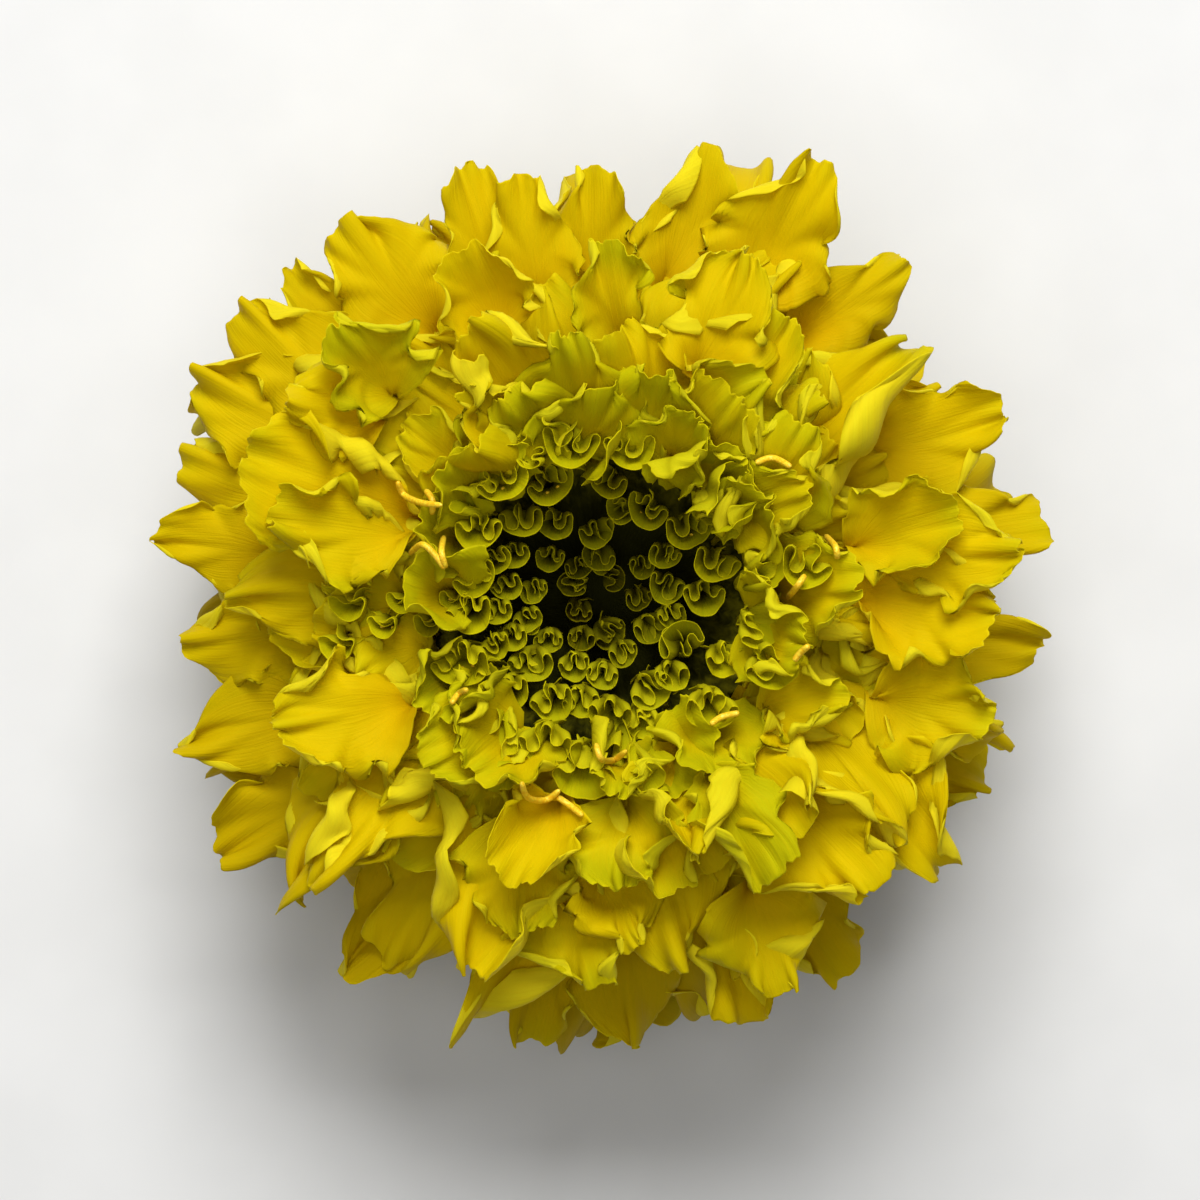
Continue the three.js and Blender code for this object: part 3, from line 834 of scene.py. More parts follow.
def row_angle(florets: Florets, u: Array, v: Array, width: Array, length: Array) -> Array:
    """The tangent angle across each row.

    It is a sum: a roll, tight at the claw and open at the tip, which in a trumpet is done before the margins; a
    hook, which turns one margin in and the other out; a fold of either side at `fold_at`; and ruffles, sines of
    the direction round the middle of the blade, which grow towards its margin. A trumpet has, in place of the
    ruffles, folds of its back and a waved lip.

    Args:
        florets: the florets.
        u: places along, 0 .. 1.
        v: places across, -1 .. 1.
        width: half the width of each row.
        length: the length of each sheet.

    Returns:
        Angles [floret, row, column] in radians.
    """
    closed, side = per(florets.closed), np.abs(v)
    opened = smooth(0.1, 0.75, u)
    roll = per(florets.roll_claw) * (1 - opened) + per(florets.roll_tip) * opened
    turned = np.sign(v) * (np.minimum(side / 0.43, 1) + 0.6 * smooth(0.38, 0.56, side))
    phi = roll * (v * (1 - closed) + turned * closed) * (1 + per(florets.skew) * v)
    phi = phi + per(florets.hook) * opened * smooth(0.45, 1, side)
    folded = np.exp(-(((u - per(florets.fold_at)) / 0.27) ** 2))
    phi = phi + folded * per(florets.fold_right) * smooth(0.42, 0.88, v)
    phi = phi - folded * per(florets.fold_left) * smooth(0.42, 0.88, -v)

    around = np.arctan2(v * width, (u - 0.5) * length)
    rim = np.minimum(1, (side**5 + u**5) ** 0.2)
    started = smooth(0, 1, (u - per(florets.ruffle_from)) / 0.45)
    depth = per(florets.ruffle) * 1.1 * rim**3.2 * started
    waves = per(florets.waves)
    ripple = 0.8 * wave(florets, around, waves, Draw.BROAD_RIPPLE)
    ripple = ripple + 0.85 * rim * wave(florets, around, waves * 1.7, Draw.RIPPLE)
    ripple = ripple + 0.45 * rim**2 * wave(florets, around, waves * 2.9, Draw.FINE_RIPPLE)
    phi = phi + depth * ripple * (1 - closed)

    pitch = 11.5 + 2.5 * per(swing(florets.index, Draw.BACK_PITCH))
    pitch = pitch + 4 * np.sign(v) * per(swing(florets.index, Draw.BACK_SIDES))
    folds = np.sin(pitch * (side - 0.4)) * np.sign(v) * smooth(0.3, 0.5, side)
    lip = 0.14 * wave(florets, v, 11, Draw.LIP) + 0.07 * wave(florets, v, 29, Draw.FINE_LIP)
    return phi + closed * (per(florets.pinch) * folds + lip * u**3) * started


def sheet_surface(florets: Florets, grid: SheetGrid) -> Array:
    """The middle surface of every floret's sheet.

    The middle of a sheet follows its arc. Each row is a curve of given length across it: the running sum, from
    the middle to both margins, of the row angle's cosine and sine. So a row keeps its length, and a strong
    ruffle folds over. Teeth lengthen and shorten it at the margin, and the sheet twists towards its tip.

    Args:
        florets: the florets.
        grid: rows and columns.

    Returns:
        Points [floret, row, column, 3] in millimetres.
    """
    u, v = grid.u()[None, :, None], grid.v()[None, None, :]
    along = places_along(florets, u, v)
    arc = Arc.of(florets, along)
    width = row_width(florets, u)
    phi = row_angle(florets, u, v, width, arc.length)
    step = np.diff(grid.v())
    half = len(step) // 2

    def running(values: Array) -> Array:
        """The sum of values from the middle column to each column."""
        parts = (values[..., 1:] + values[..., :-1]) / 2 * step
        total = np.concatenate([np.zeros_like(parts[..., :1]), np.cumsum(parts, axis=-1)], axis=-1)
        return total - total[..., half : half + 1]

    teeth = 0.4 * wave(florets, u, 26, Draw.TEETH) + 0.16 * wave(florets, u, 71, Draw.FINE_TEETH)
    teeth = fringe(florets) * teeth * np.sign(v) * np.abs(v) ** 7 * smooth(0.25, 0.6, u)
    x = width * running(np.cos(phi)) + teeth * np.cos(phi)
    z = width * running(np.sin(phi)) + teeth * np.sin(phi)

    ahead = unit(florets.tip - florets.throat)[:, None, None]
    upper = florets.upper[:, None, None]
    cos, sin = np.cos(arc.bearing)[..., None], np.sin(arc.bearing)[..., None]
    tangent, normal = ahead * cos + upper * sin, upper * cos - ahead * sin
    across = np.cross(tangent, normal)
    twist = (per(florets.twist) * np.clip(along, 0, 1) ** 1.5)[..., None]
    points = florets.throat[:, None, None] + ahead * arc.forward[..., None]
    points = points + upper * (arc.lift - 0.23 * width * per(florets.closed))[..., None]
    points = points + (across * np.cos(twist) + normal * np.sin(twist)) * x[..., None]
    return points + (normal * np.cos(twist) - across * np.sin(twist)) * z[..., None]


def margin_distance(florets: Florets, grid: SheetGrid) -> Array:
    """About how far each point of the sheets is from its floret's margin: the nearer of its side and its end.

    Args:
        florets: the florets.
        grid: rows and columns.

    Returns:
        Distances [floret, row, column] in millimetres.
    """
    width = florets.half_width[:, None, None]
    length = np.linalg.norm(florets.tip - florets.throat, axis=-1)[:, None, None]
    u, v = grid.u()[None, :, None], grid.v()[None, None, :]
    return np.minimum((1 - np.abs(v)) * width, (1 - u) * length)


def surface_normals(points: Array) -> Array:
    """The upper side's normal at each point of sheets [floret, row, column, 3], from central differences."""
    along = np.gradient(points, axis=1)
    across = np.gradient(points, axis=2)
    return unit(np.cross(across, along))


def spline_weights(fine: int, coarse: int) -> Array:
    """Weights that carry values at even places to more even places along a Catmull-Rom curve.

    Args:
        fine: how many places the values are carried to.
        coarse: how many there are.

    Returns:
        Weights [fine, coarse], of which each row adds up to one.
    """
    place = np.linspace(0, coarse - 1, fine)
    low = np.minimum(place.astype(int), coarse - 2)
    w = place - low
    parts = np.stack(
        [
            (-(w**3) + 2 * w**2 - w) / 2,
            (3 * w**3 - 5 * w**2 + 2) / 2,
            (-3 * w**3 + 4 * w**2 + w) / 2,
            (w**3 - w**2) / 2,
        ],
        axis=1,
    )
    weights = np.zeros((fine, coarse))
    for step in range(4):
        np.add.at(weights, (np.arange(fine), np.clip(low + step - 1, 0, coarse - 1)), parts[:, step])
    return weights


@dataclass(frozen=True)
class Settling:
    """Moves florets apart on a coarse grid, so that each lies on the older ones under it.

    For each point of a floret, the nearest point of each older neighbour is found. Where the younger one is
    less than `clear` above the older one, measured along the mean of their upper normals, both move by half of
    what is missing. The moves of a floret are evened out over its sheet and fade to nothing at its claw.
    Florets from the rank `rolled_from` on stay where they are.
    """

    grid: SheetGrid = SheetGrid(10, 13)
    rounds: int = 3
    steps: int = 3
    clear: float = 0.4
    depth: float = 3.5
    rolled_from: float = 0.74
    batch: int = 500

    def moves(self, florets: Florets) -> Array:
        """How far each coarse point moves.

        Args:
            florets: the florets, in any order.

        Returns:
            Moves [floret, row, column, 3] in millimetres.
        """
        calm = Florets(**{**vars(florets), "ruffle": florets.ruffle * 0.3})
        rest = sheet_surface(calm, self.grid)
        count, rows, columns = rest.shape[:3]
        normal = surface_normals(rest).reshape(count, -1, 3)
        hold = smooth(0.08, 0.4, self.grid.u())[None, :, None, None]
        now = rest.copy()
        older, younger = self.neighbours(florets, rest)
        for _ in range(self.rounds):
            low, high = self.nearest(now.reshape(count, -1, 3), older, younger)
            toward = normal.reshape(-1, 3)[low] + normal.reshape(-1, 3)[high]
            agree = np.linalg.norm(toward, axis=1) > 0.9
            low, high, toward = low[agree], high[agree], unit(toward[agree])
            for _ in range(self.steps):
                flat = now.reshape(-1, 3)
                apart = flat[high] - flat[low]
                above = (apart * toward).sum(1)
                aside = np.sqrt(np.maximum((apart**2).sum(1) - above**2, 0))
                share = (1 - smooth(0.9, 2.2, aside)) * (above > -self.depth)
                missing = np.maximum(self.clear - above, 0) * share
                total = np.zeros((len(flat), 3))
                weight = np.bincount(low, share, len(flat)) + np.bincount(high, share, len(flat)) + 0.5
                for axis in range(3):
                    push = 0.5 * missing * toward[:, axis]
                    total[:, axis] = np.bincount(high, push, len(flat)) - np.bincount(low, push, len(flat))
                move = (total / weight[:, None]).reshape(now.shape)
                now = now + 1.6 * self.evened(move) * hold
        return now - rest

    def neighbours(self, florets: Florets, rest: Array) -> tuple[Array, Array]:
        """Pairs of open florets whose sheets can touch.

        Args:
            florets: the florets.
            rest: their points on the coarse grid.

        Returns:
            Numbers of the older ones, and of the younger ones.
        """
        points = rest.reshape(len(rest), -1, 3)
        centre = points.mean(axis=1)
        radius = np.linalg.norm(points - centre[:, None], axis=-1).max(axis=1)
        order = np.argsort(florets.rank, kind="stable")
        first, second = np.triu_indices(len(rest), 1)
        older, younger = order[first], order[second]
        gap = np.linalg.norm(centre[older] - centre[younger], axis=1) - radius[older] - radius[younger]
        near = (gap < 0) & (florets.rank[older] < self.rolled_from) & (florets.rank[younger] < self.rolled_from)
        return older[near], younger[near]

    def nearest(self, points: Array, older: Array, younger: Array) -> tuple[Array, Array]:
        """Near points of pairs: for each point of either floret, the nearest of the other's.

        Args:
            points: [floret, point, 3].
            older: numbers of the older florets.
            younger: numbers of the younger ones.

        Returns:
            Numbers of points of the older florets, and of those of the younger ones next to them.
        """
        size = points.shape[1]
        single = points.astype(np.float32)
        square = (single**2).sum(-1)
        lows: list[Array] = []
        highs: list[Array] = []
        for start in range(0, len(older), self.batch):
            a, b = older[start : start + self.batch], younger[start : start + self.batch]
            gap = square[b][:, :, None] + square[a][:, None, :] - 2 * single[b] @ single[a].transpose(0, 2, 1)
            for axis in (2, 1):
                best = gap.argmin(axis=axis)
                pair, place = np.nonzero(gap.min(axis=axis) < 3.2**2)
                other = best[pair, place]
                high, low = (place, other) if axis == 2 else (other, place)
                lows.append(a[pair] * size + low)
                highs.append(b[pair] * size + high)
        return np.concatenate(lows), np.concatenate(highs)

    def evened(self, move: Array) -> Array:
        """Moves spread over each sheet: a 1-2-1 mean along it and across it, three times."""
        for _ in range(3):
            for axis in (1, 2):
                padded = np.concatenate([np.take(move, [0], axis), move, np.take(move, [-1], axis)], axis)
                size = move.shape[axis]
                parts = [np.take(padded, range(k, k + size), axis) for k in (0, 1, 2)]
                move = (parts[0] + 2 * parts[1] + parts[2]) / 4
        return move

    def carried(self, moves: Array, grid: SheetGrid) -> Array:
        """Coarse moves on a finer grid."""
        along = spline_weights(grid.rows, self.grid.rows)
        across = spline_weights(grid.columns, self.grid.columns)
        return np.einsum("ra,fabx,cb->frcx", along, moves, across)


@dataclass(frozen=True)
class ThinSheets:
    """Closes middle surfaces into thin shells: two faces and a narrow rim, one closed skin for each floret."""

    thickness: float = 0.28
    margin: float = 0.05
    taper: float = 1.1

    def mesh(self, name: str, florets: Florets, points: Array, grid: SheetGrid) -> bpy.types.Object:
        """One object that holds all the sheets.

        The two faces stand half the thickness off the middle surface, less at the margin. The attribute
        `blade` holds u, v and the distance to the margin in millimetres; `floret` holds the floret's green,
        from -1 for the oldest to 3 for the inmost, whose two ends bring in colours that are partly painted
        shade in the petal finish, then 0 on the upper face and 1 on the lower, and a draw.

        Args:
            name: the piece's name.
            florets: the florets that the points belong to.
            points: the middle surfaces, [floret, row, column, 3], in millimetres.
            grid: their rows and columns.

        Returns:
            The new object.
        """
        count, rows, columns = points.shape[:3]
        edge = margin_distance(florets, grid)
        thick = self.margin + (self.thickness - self.margin) * smooth(0, self.taper, edge)
        offset = surface_normals(points) * (thick / 2)[..., None]
        both = np.stack([points + offset, points - offset], axis=1)

        number = np.arange(rows * columns).reshape(rows, columns)
        a, b = number[:-1, :-1].ravel(), number[:-1, 1:].ravel()
        c, d = number[1:, 1:].ravel(), number[1:, :-1].ravel()
        top = np.stack([a, b, c, d], axis=1)
        under = np.stack([d, c, b, a], axis=1) + rows * columns
        ring = np.concatenate([number[0, :], number[1:, -1], number[-1, -2::-1], number[-2:0:-1, 0]])
        following = np.roll(ring, -1)
        wall = np.stack([following, ring, ring + rows * columns, following + rows * columns], axis=1)
        quads = np.concatenate([top, under, wall])
        starts = (np.arange(count) * 2 * rows * columns)[:, None, None]
        faces = (quads[None] + starts).reshape(-1, 4)

        u = np.broadcast_to(grid.u()[None, :, None], (count, rows, columns))
        v = np.broadcast_to(grid.v()[None, None, :], (count, rows, columns))
        blade = np.stack([u, v, edge], axis=-1)
        about = np.zeros((count, 2, rows, columns, 3))
        about[..., 0] = florets.green[:, None, None, None]
        about[:, 1, ..., 1] = 1
        about[..., 2] = chance(florets.index, Draw.SKIN)[:, None, None, None]
        blade = np.broadcast_to(blade[:, None], (count, 2, rows, columns, 3))
        made = mesh_object(name, both.reshape(-1, 3), [faces], {"blade": blade, "floret": about})
        smoothed = np.ones((count, len(quads)), bool)
        smoothed[:, -len(wall) :] = False
        made.data.polygons.foreach_set("use_smooth", smoothed.ravel())
        return made


def mesh_object(
    name: str, points: Array, faces: list[Array], attributes: dict[str, Array]
) -> bpy.types.Object:
    """A smooth-shaded mesh object from points in millimetres and faces.

    Args:
        name: the object's and mesh's name.
        points: [point, 3], in millimetres.
        faces: arrays of point numbers [face, corners], one array for each number of corners.
        attributes: three numbers for each point, by name.

    Returns:
        The object, linked to the scene.
    """
    mesh = bpy.data.meshes.new(name)
    corners = np.concatenate([part.ravel() for part in faces]).astype(np.int32)
    sizes = np.concatenate([np.full(len(part), part.shape[1]) for part in faces])
    mesh.vertices.add(len(points))
    mesh.vertices.foreach_set("co", (points * MM).astype(np.float32).ravel())
    mesh.loops.add(len(corners))
    mesh.loops.foreach_set("vertex_index", corners)
    mesh.polygons.add(len(sizes))
    mesh.polygons.foreach_set("loop_start", (np.cumsum(sizes) - sizes).astype(np.int32))
    mesh.polygons.foreach_set("use_smooth", np.ones(len(sizes), bool))
    mesh.update(calc_edges=True)
    for key, values in attributes.items():
        made = mesh.attributes.new(key, "FLOAT_VECTOR", "POINT")
        made.data.foreach_set("vector", np.ascontiguousarray(values, dtype=np.float32).ravel())
    mesh.validate()
    made_object = bpy.data.objects.new(name, mesh)
    bpy.context.scene.collection.objects.link(made_object)
    return made_object


class NodeTree:
    """A shader node tree with short ways to add and join nodes."""

    def __init__(self, tree: bpy.types.NodeTree) -> None:
        """Wraps a tree and clears it."""
        self.tree = tree
        self.tree.nodes.clear()

    @classmethod
    def of_material(cls, name: str) -> tuple["NodeTree", bpy.types.Material]:
        """A new material and its empty tree."""
        material = bpy.data.materials.new(name)
        material.use_nodes = True
        return cls(material.node_tree), material

    def add(self, kind: str, values: dict[str, object] | None = None, **settings: object) -> bpy.types.Node:
        """A node of a kind.

        Args:
            kind: the node's type name.
            values: numbers, colours or sockets by input name.
            settings: the node's own properties.

        Returns:
            The node.
        """
        node = self.tree.nodes.new(kind)
        for key, value in settings.items():
            setattr(node, key, value)
        for key, value in (values or {}).items():
            self.feed(node.inputs[key], value)
        return node

    def feed(self, socket: bpy.types.NodeSocket, value: object) -> None:
        """Sets a socket to a value or joins an output to it."""
        if isinstance(value, bpy.types.NodeSocket):
            self.tree.links.new(value, socket)
        elif value is not None:
            socket.default_value = value

    def math(self, operation: str, first: object, second: object = None) -> bpy.types.NodeSocket:
        """The result of a Math node whose inputs are sockets or numbers."""
        node = self.add("ShaderNodeMath", operation=operation)
        for socket, value in zip(node.inputs, (first, second)):
            self.feed(socket, value)
        return node.outputs[0]

    def times(self, first: object, second: object) -> bpy.types.NodeSocket:
        """The product of two sockets or numbers."""
        return self.math("MULTIPLY", first, second)

    def plus(self, first: object, second: object) -> bpy.types.NodeSocket:
        """The sum of two sockets or numbers."""
        return self.math("ADD", first, second)

    def rest(self, value: object) -> bpy.types.NodeSocket:
        """One less a socket's value."""
        return self.math("SUBTRACT", 1.0, value)

    def ramp(self, factor: bpy.types.NodeSocket, low: float, high: float) -> bpy.types.NodeSocket:
        """A smooth step of a socket's value from low to high."""
        values = {"Value": factor, "From Min": low, "From Max": high}
        return self.add("ShaderNodeMapRange", values, interpolation_type="SMOOTHSTEP").outputs["Result"]

    def blend(self, factor: object, first: object, second: object) -> bpy.types.NodeSocket:
        """A colour between two, each a socket or a colour."""
        node = self.add("ShaderNodeMix", data_type="RGBA")
        for socket, value in zip((node.inputs[0], node.inputs[6], node.inputs[7]), (factor, first, second)):
            self.feed(socket, value)
        return node.outputs[2]

    def parts(self, vector: bpy.types.NodeSocket) -> list[bpy.types.NodeSocket]:
        """The three numbers of a vector."""
        return list(self.add("ShaderNodeSeparateXYZ", {"Vector": vector}).outputs)

    def attribute(self, name: str) -> list[bpy.types.NodeSocket]:
        """The three numbers of a mesh attribute."""
        return self.parts(self.add("ShaderNodeAttribute", attribute_name=name).outputs["Vector"])

    def object_place(self) -> bpy.types.NodeSocket:
        """The point in the object's own coordinates."""
        return self.add("ShaderNodeTexCoord").outputs["Object"]

    def noise(self, place: bpy.types.NodeSocket, scale: float, detail: float = 2.0) -> bpy.types.NodeSocket:
        """Noise from 0 to 1 at a place."""
        return self.add("ShaderNodeTexNoise", {"Vector": place, "Scale": scale, "Detail": detail}).outputs[0]

    def grained(
        self, place: bpy.types.NodeSocket, scale: float, depth: float, relief: object
    ) -> bpy.types.Node:
        """The shared skin grain at a place: its outputs are the grain's value and a normal."""
        node = self.add("ShaderNodeGroup", node_tree=skin_grain())
        for key, value in {"Vector": place, "Scale": scale, "Depth": depth, "Relief": relief}.items():
            self.feed(node.inputs[key], value)
        return node

    def show(self, shader: bpy.types.Node) -> None:
        """Gives the tree a surface output."""
        self.add("ShaderNodeOutputMaterial", {"Surface": shader.outputs[0]})


def skin_grain() -> bpy.types.NodeTree:
    """The node group that all plant skins share: a fine grain, laid over a relief as a normal.

    Returns:
        The group, made once.
    """
    found = bpy.data.node_groups.get("skin_grain")
    if found:
        return found
    group = bpy.data.node_groups.new("skin_grain", "ShaderNodeTree")
    for key, kind in (("Vector", "Vector"), ("Scale", "Float"), ("Depth", "Float"), ("Relief", "Float")):
        group.interface.new_socket(key, in_out="INPUT", socket_type=f"NodeSocket{kind}")
    group.interface.new_socket("Value", in_out="OUTPUT", socket_type="NodeSocketFloat")
    group.interface.new_socket("Normal", in_out="OUTPUT", socket_type="NodeSocketVector")
    tree = NodeTree(group)
    given = tree.add("NodeGroupInput").outputs
    grain = tree.add("ShaderNodeTexNoise", {"Vector": given["Vector"], "Scale": given["Scale"], "Detail": 2.0})
    height = tree.plus(tree.times(grain.outputs[0], given["Depth"]), given["Relief"])
    bump = tree.add("ShaderNodeBump", {"Height": height, "Strength": 0.6, "Distance": 0.0002})
    tree.add("NodeGroupOutput", {"Value": grain.outputs[0], "Normal": bump.outputs[0]})
    return group


@dataclass(frozen=True)
class PetalFinish:
    """Satin petal skin: yellow with green tinges, a pale underside and fine veins, with painted light and
    shade: a pale glowing rim, an orange throat, a darker orange on the low outer florets and near black deep in
    the middle.
    """

    name: str = "marigold_petal"
    yellow: Colour = (0.76, 0.58, 0.001, 1)
    # Colour of the oldest florets: partly their deeper orange, partly painted shade on the low outer florets
    # that turn away from the light.
    old: Colour = (0.52, 0.37, 0.001, 1)
    lime: Colour = (0.60, 0.57, 0.003, 1)
    young: Colour = (0.46, 0.46, 0.005, 1)
    # Near black: partly the dark green of the immature inmost florets, mostly painted shade of the deep pit and
    # of the trumpets' tubes.
    inmost: Colour = (0.018, 0.019, 0.001, 1)
    # Orange: towards the throats it is painted bounced light, the warmer glow deep in the shaded head; on the
    # veins it is their own tint.
    throat: Colour = (0.80, 0.49, 0.001, 1)
    # Pale rim: painted light, the glow of thin margins that light shines through.
    rim: Colour = (0.92, 0.80, 0.006, 1)
    underside: Colour = (0.96, 0.86, 0.02, 1)
    gloss: Colour = (1, 0.85, 0.08, 1)
    roughness: float = 0.55
    through: float = 0.38

    def material(self) -> bpy.types.Material:
        """Builds the finish: a skin mixed with light that passes through the petal.

        Returns:
            The material.
        """
        tree, material = NodeTree.of_material(self.name)
        u, v, edge = tree.attribute("blade")
        age, under, draw = tree.attribute("floret")
        green = tree.math("MAXIMUM", tree.math("MINIMUM", age, 1.0), 0.0)
        place = tree.object_place()

        cloud = tree.noise(place, 160.0, 3.0)
        near_edge = tree.rest(tree.ramp(edge, 0.2, 3.8))
        tinge = tree.times(near_edge, 0.5)
        tinge = tree.plus(tinge, tree.times(tree.math("SUBTRACT", cloud, 0.46), 1.5))
        tinge = tree.times(tinge, tree.plus(0.5, green))
        tinge = tree.plus(tree.times(green, 0.75), tinge)
        # The oldest florets blend to a darker orange: partly their own tone, partly painted shade on the low
        # outer ring.
        colour = tree.blend(tree.ramp(age, 0.0, -1.0), self.yellow, self.old)
        colour = tree.blend(tree.ramp(tinge, 0.0, 1.0), colour, self.lime)
        colour = tree.blend(tree.ramp(age, 1.0, 2.0), colour, self.young)
        # The inmost florets darken to near black: painted shade of the deep pit over their dark green.
        colour = tree.blend(tree.ramp(age, 2.0, 3.0), colour, self.inmost)
        # Painted shade: each young trumpet turns near black from its throat to about 0.7 of its length, where
        # it stands deep among the others.
        inside = tree.rest(tree.ramp(u, 0.7, 0.99))
        inside = tree.times(inside, tree.ramp(age, 0.7, 1.1))
        colour = tree.blend(tree.times(inside, 0.9), colour, self.inmost)
        # Painted bounced light: the lower part of each older floret, towards its throat, turns orange.
        deep = tree.rest(tree.ramp(u, 0.1, 0.75))
        deep = tree.times(deep, tree.rest(green))
        colour = tree.blend(tree.times(deep, 0.8), colour, self.throat)
        paler = tree.math("SUBTRACT", 0.75, tree.times(green, 0.6))
        colour = tree.blend(tree.times(under, paler), colour, self.underside)
        # Painted light: the last quarter millimetre of each margin is paled as if light shone through it.
        pale = tree.rest(tree.ramp(edge, 0.0, 0.25))
        colour = tree.blend(tree.times(pale, 0.4), colour, self.rim)

        fan = tree.add("ShaderNodeCombineXYZ")
        for socket, value, times in zip(fan.inputs, (v, u, draw), (34.0, 3.0, 40.0)):
            tree.feed(socket, tree.times(value, times))
        veins = tree.noise(fan.outputs[0], 1.0)
        colour = tree.blend(tree.times(tree.ramp(veins, 0.3, 0.7), 0.12), colour, self.throat)
        grain = tree.grained(place, 5200.0, 0.12, tree.times(veins, 0.6))

        values = {"Base Color": colour, "Roughness": self.roughness, "IOR": 1.38, "Specular IOR Level": 0.3}
        values |= {"Specular Tint": self.gloss, "Normal": grain.outputs["Normal"]}
        skin = tree.add("ShaderNodeBsdfPrincipled", values)
        glow = tree.add("ShaderNodeBsdfTranslucent", {"Color": colour, "Normal": grain.outputs["Normal"]})
        mixed = tree.add("ShaderNodeMixShader", {"Fac": self.through})
        tree.feed(mixed.inputs[1], skin.outputs[0])
        tree.feed(mixed.inputs[2], glow.outputs[0])
        tree.show(mixed)
        return material


@dataclass(frozen=True)
class StyleFinish:
    """Waxy orange-yellow of the style arms, with a fine pollen-like grain."""

    name: str = "style_arm"
    orange: Colour = (0.88, 0.50, 0.006, 1)
    pale: Colour = (0.95, 0.68, 0.03, 1)

    def material(self) -> bpy.types.Material:
        """Builds the finish.

        Returns:
            The material.
        """
        tree, material = NodeTree.of_material(self.name)
        grain = tree.grained(tree.object_place(), 4000.0, 0.6, 0.0)
        colour = tree.blend(tree.ramp(grain.outputs["Value"], 0.35, 0.65), self.orange, self.pale)
        values = {"Base Color": colour, "Roughness": 0.45, "Normal": grain.outputs["Normal"]}
        tree.show(tree.add("ShaderNodeBsdfPrincipled", values))
        return material


@dataclass(frozen=True)
class ClawFinish:
    """Dull green-yellow of packed claws, with painted shade: darker between them and towards the bottom."""

    name: str = "packed_claws"
    ridge: Colour = (0.28, 0.25, 0.006, 1)
    # Near black: painted shade for the bottom of the bed and the gaps between claws.
    deep: Colour = (0.035, 0.035, 0.002, 1)

    def material(self) -> bpy.types.Material:
        """Builds the finish.

        Returns:
            The material.
        """
        tree, material = NodeTree.of_material(self.name)
        place = tree.object_place()
        cloud = tree.noise(place, 700.0, 3.0)
        # Painted shade: the bed darkens towards its bottom and in the noise's low patches.
        height = tree.ramp(tree.parts(place)[2], 0.02, 0.03)
        share = tree.times(height, tree.ramp(cloud, 0.3, 0.7))
        colour = tree.blend(share, self.deep, self.ridge)
        grain = tree.grained(place, 2600.0, 0.5, cloud)
        values = {"Base Color": colour, "Roughness": 0.8, "Specular IOR Level": 0.1}
        values |= {"Normal": grain.outputs["Normal"]}
        tree.show(tree.add("ShaderNodeBsdfPrincipled", values))
        return material


@dataclass(frozen=True)
class CalyxFinish:
    """Green plant skin: pale ribs up the bracts, small darker oil glands and reddish teeth."""

    name: str = "calyx_skin"
    green: Colour = (0.13, 0.20, 0.04, 1)
    pale: Colour = (0.34, 0.42, 0.12, 1)
    gland: Colour = (0.16, 0.09, 0.015, 1)
    tooth: Colour = (0.30, 0.17, 0.05, 1)
    ribs: float = 10.0

    def material(self) -> bpy.types.Material:
        """Builds the finish.

        Returns:
            The material.
        """
        tree, material = NodeTree.of_material(self.name)
        place = tree.object_place()
        x, y, z = tree.parts(place)
        turn = tree.times(tree.math("ARCTAN2", y, x), self.ribs)
        rib = tree.math("ABSOLUTE", tree.math("COSINE", tree.times(turn, 0.5)))
        rib = tree.math("POWER", rib, 6.0)
        cloud = tree.noise(place, 420.0, 4.0)
        colour = tree.blend(tree.ramp(cloud, 0.3, 0.75), self.green, self.pale)
        colour = tree.blend(tree.times(rib, 0.6), colour, self.pale)
        cells = tree.add("ShaderNodeTexVoronoi", {"Vector": place, "Scale": 900.0})
        spot = tree.rest(tree.ramp(cells.outputs["Distance"], 0.12, 0.24))
        colour = tree.blend(tree.times(spot, 0.7), colour, self.gland)
        colour = tree.blend(tree.times(tree.ramp(z, 0.0165, 0.021), 0.6), colour, self.tooth)
        relief = tree.plus(tree.times(rib, 1.5), tree.times(spot, 0.5))
        grain = tree.grained(place, 3000.0, 0.4, relief)
        values = {"Base Color": colour, "Roughness": 0.5, "Normal": grain.outputs["Normal"]}
        tree.show(tree.add("ShaderNodeBsdfPrincipled", values))
        return material


@dataclass(frozen=True)
class FloorFinish:
    """Matt pale board with a faint mottle."""

    name: str = "pale_floor"
    light: Colour = (0.73, 0.73, 0.72, 1)
    dark: Colour = (0.70, 0.70, 0.69, 1)

    def material(self) -> bpy.types.Material:
        """Builds the finish.

        Returns:
            The material.
        """
        tree, material = NodeTree.of_material(self.name)
        mottle = tree.ramp(tree.noise(tree.object_place(), 60.0, 3.0), 0.3, 0.7)
        colour = tree.blend(mottle, self.dark, self.light)
        tree.show(tree.add("ShaderNodeBsdfPrincipled", {"Base Color": colour, "Roughness": 0.9}))
        return material


def turned_surface(name: str, rings: Array) -> bpy.types.Object:
    """A closed surface from rings of points about Z, with one flat face at each end.

    Args:
        name: the piece's name.
        rings: [ring, side, 3] in millimetres, each ring anticlockwise from above, in an order that leaves the
            solid on the inner side: up the outside and down the inside.

    Returns:
        The object.
    """
    count, sides = rings.shape[:2]
    number = np.arange(count * sides).reshape(count, sides)
    following = np.roll(number, -1, axis=1)
    walls = np.stack([number[:-1], following[:-1], following[1:], number[1:]], axis=-1).reshape(-1, 4)
    ends = np.stack([number[0, ::-1], number[-1]])
    return mesh_object(name, rings.reshape(-1, 3), [walls, ends], {})


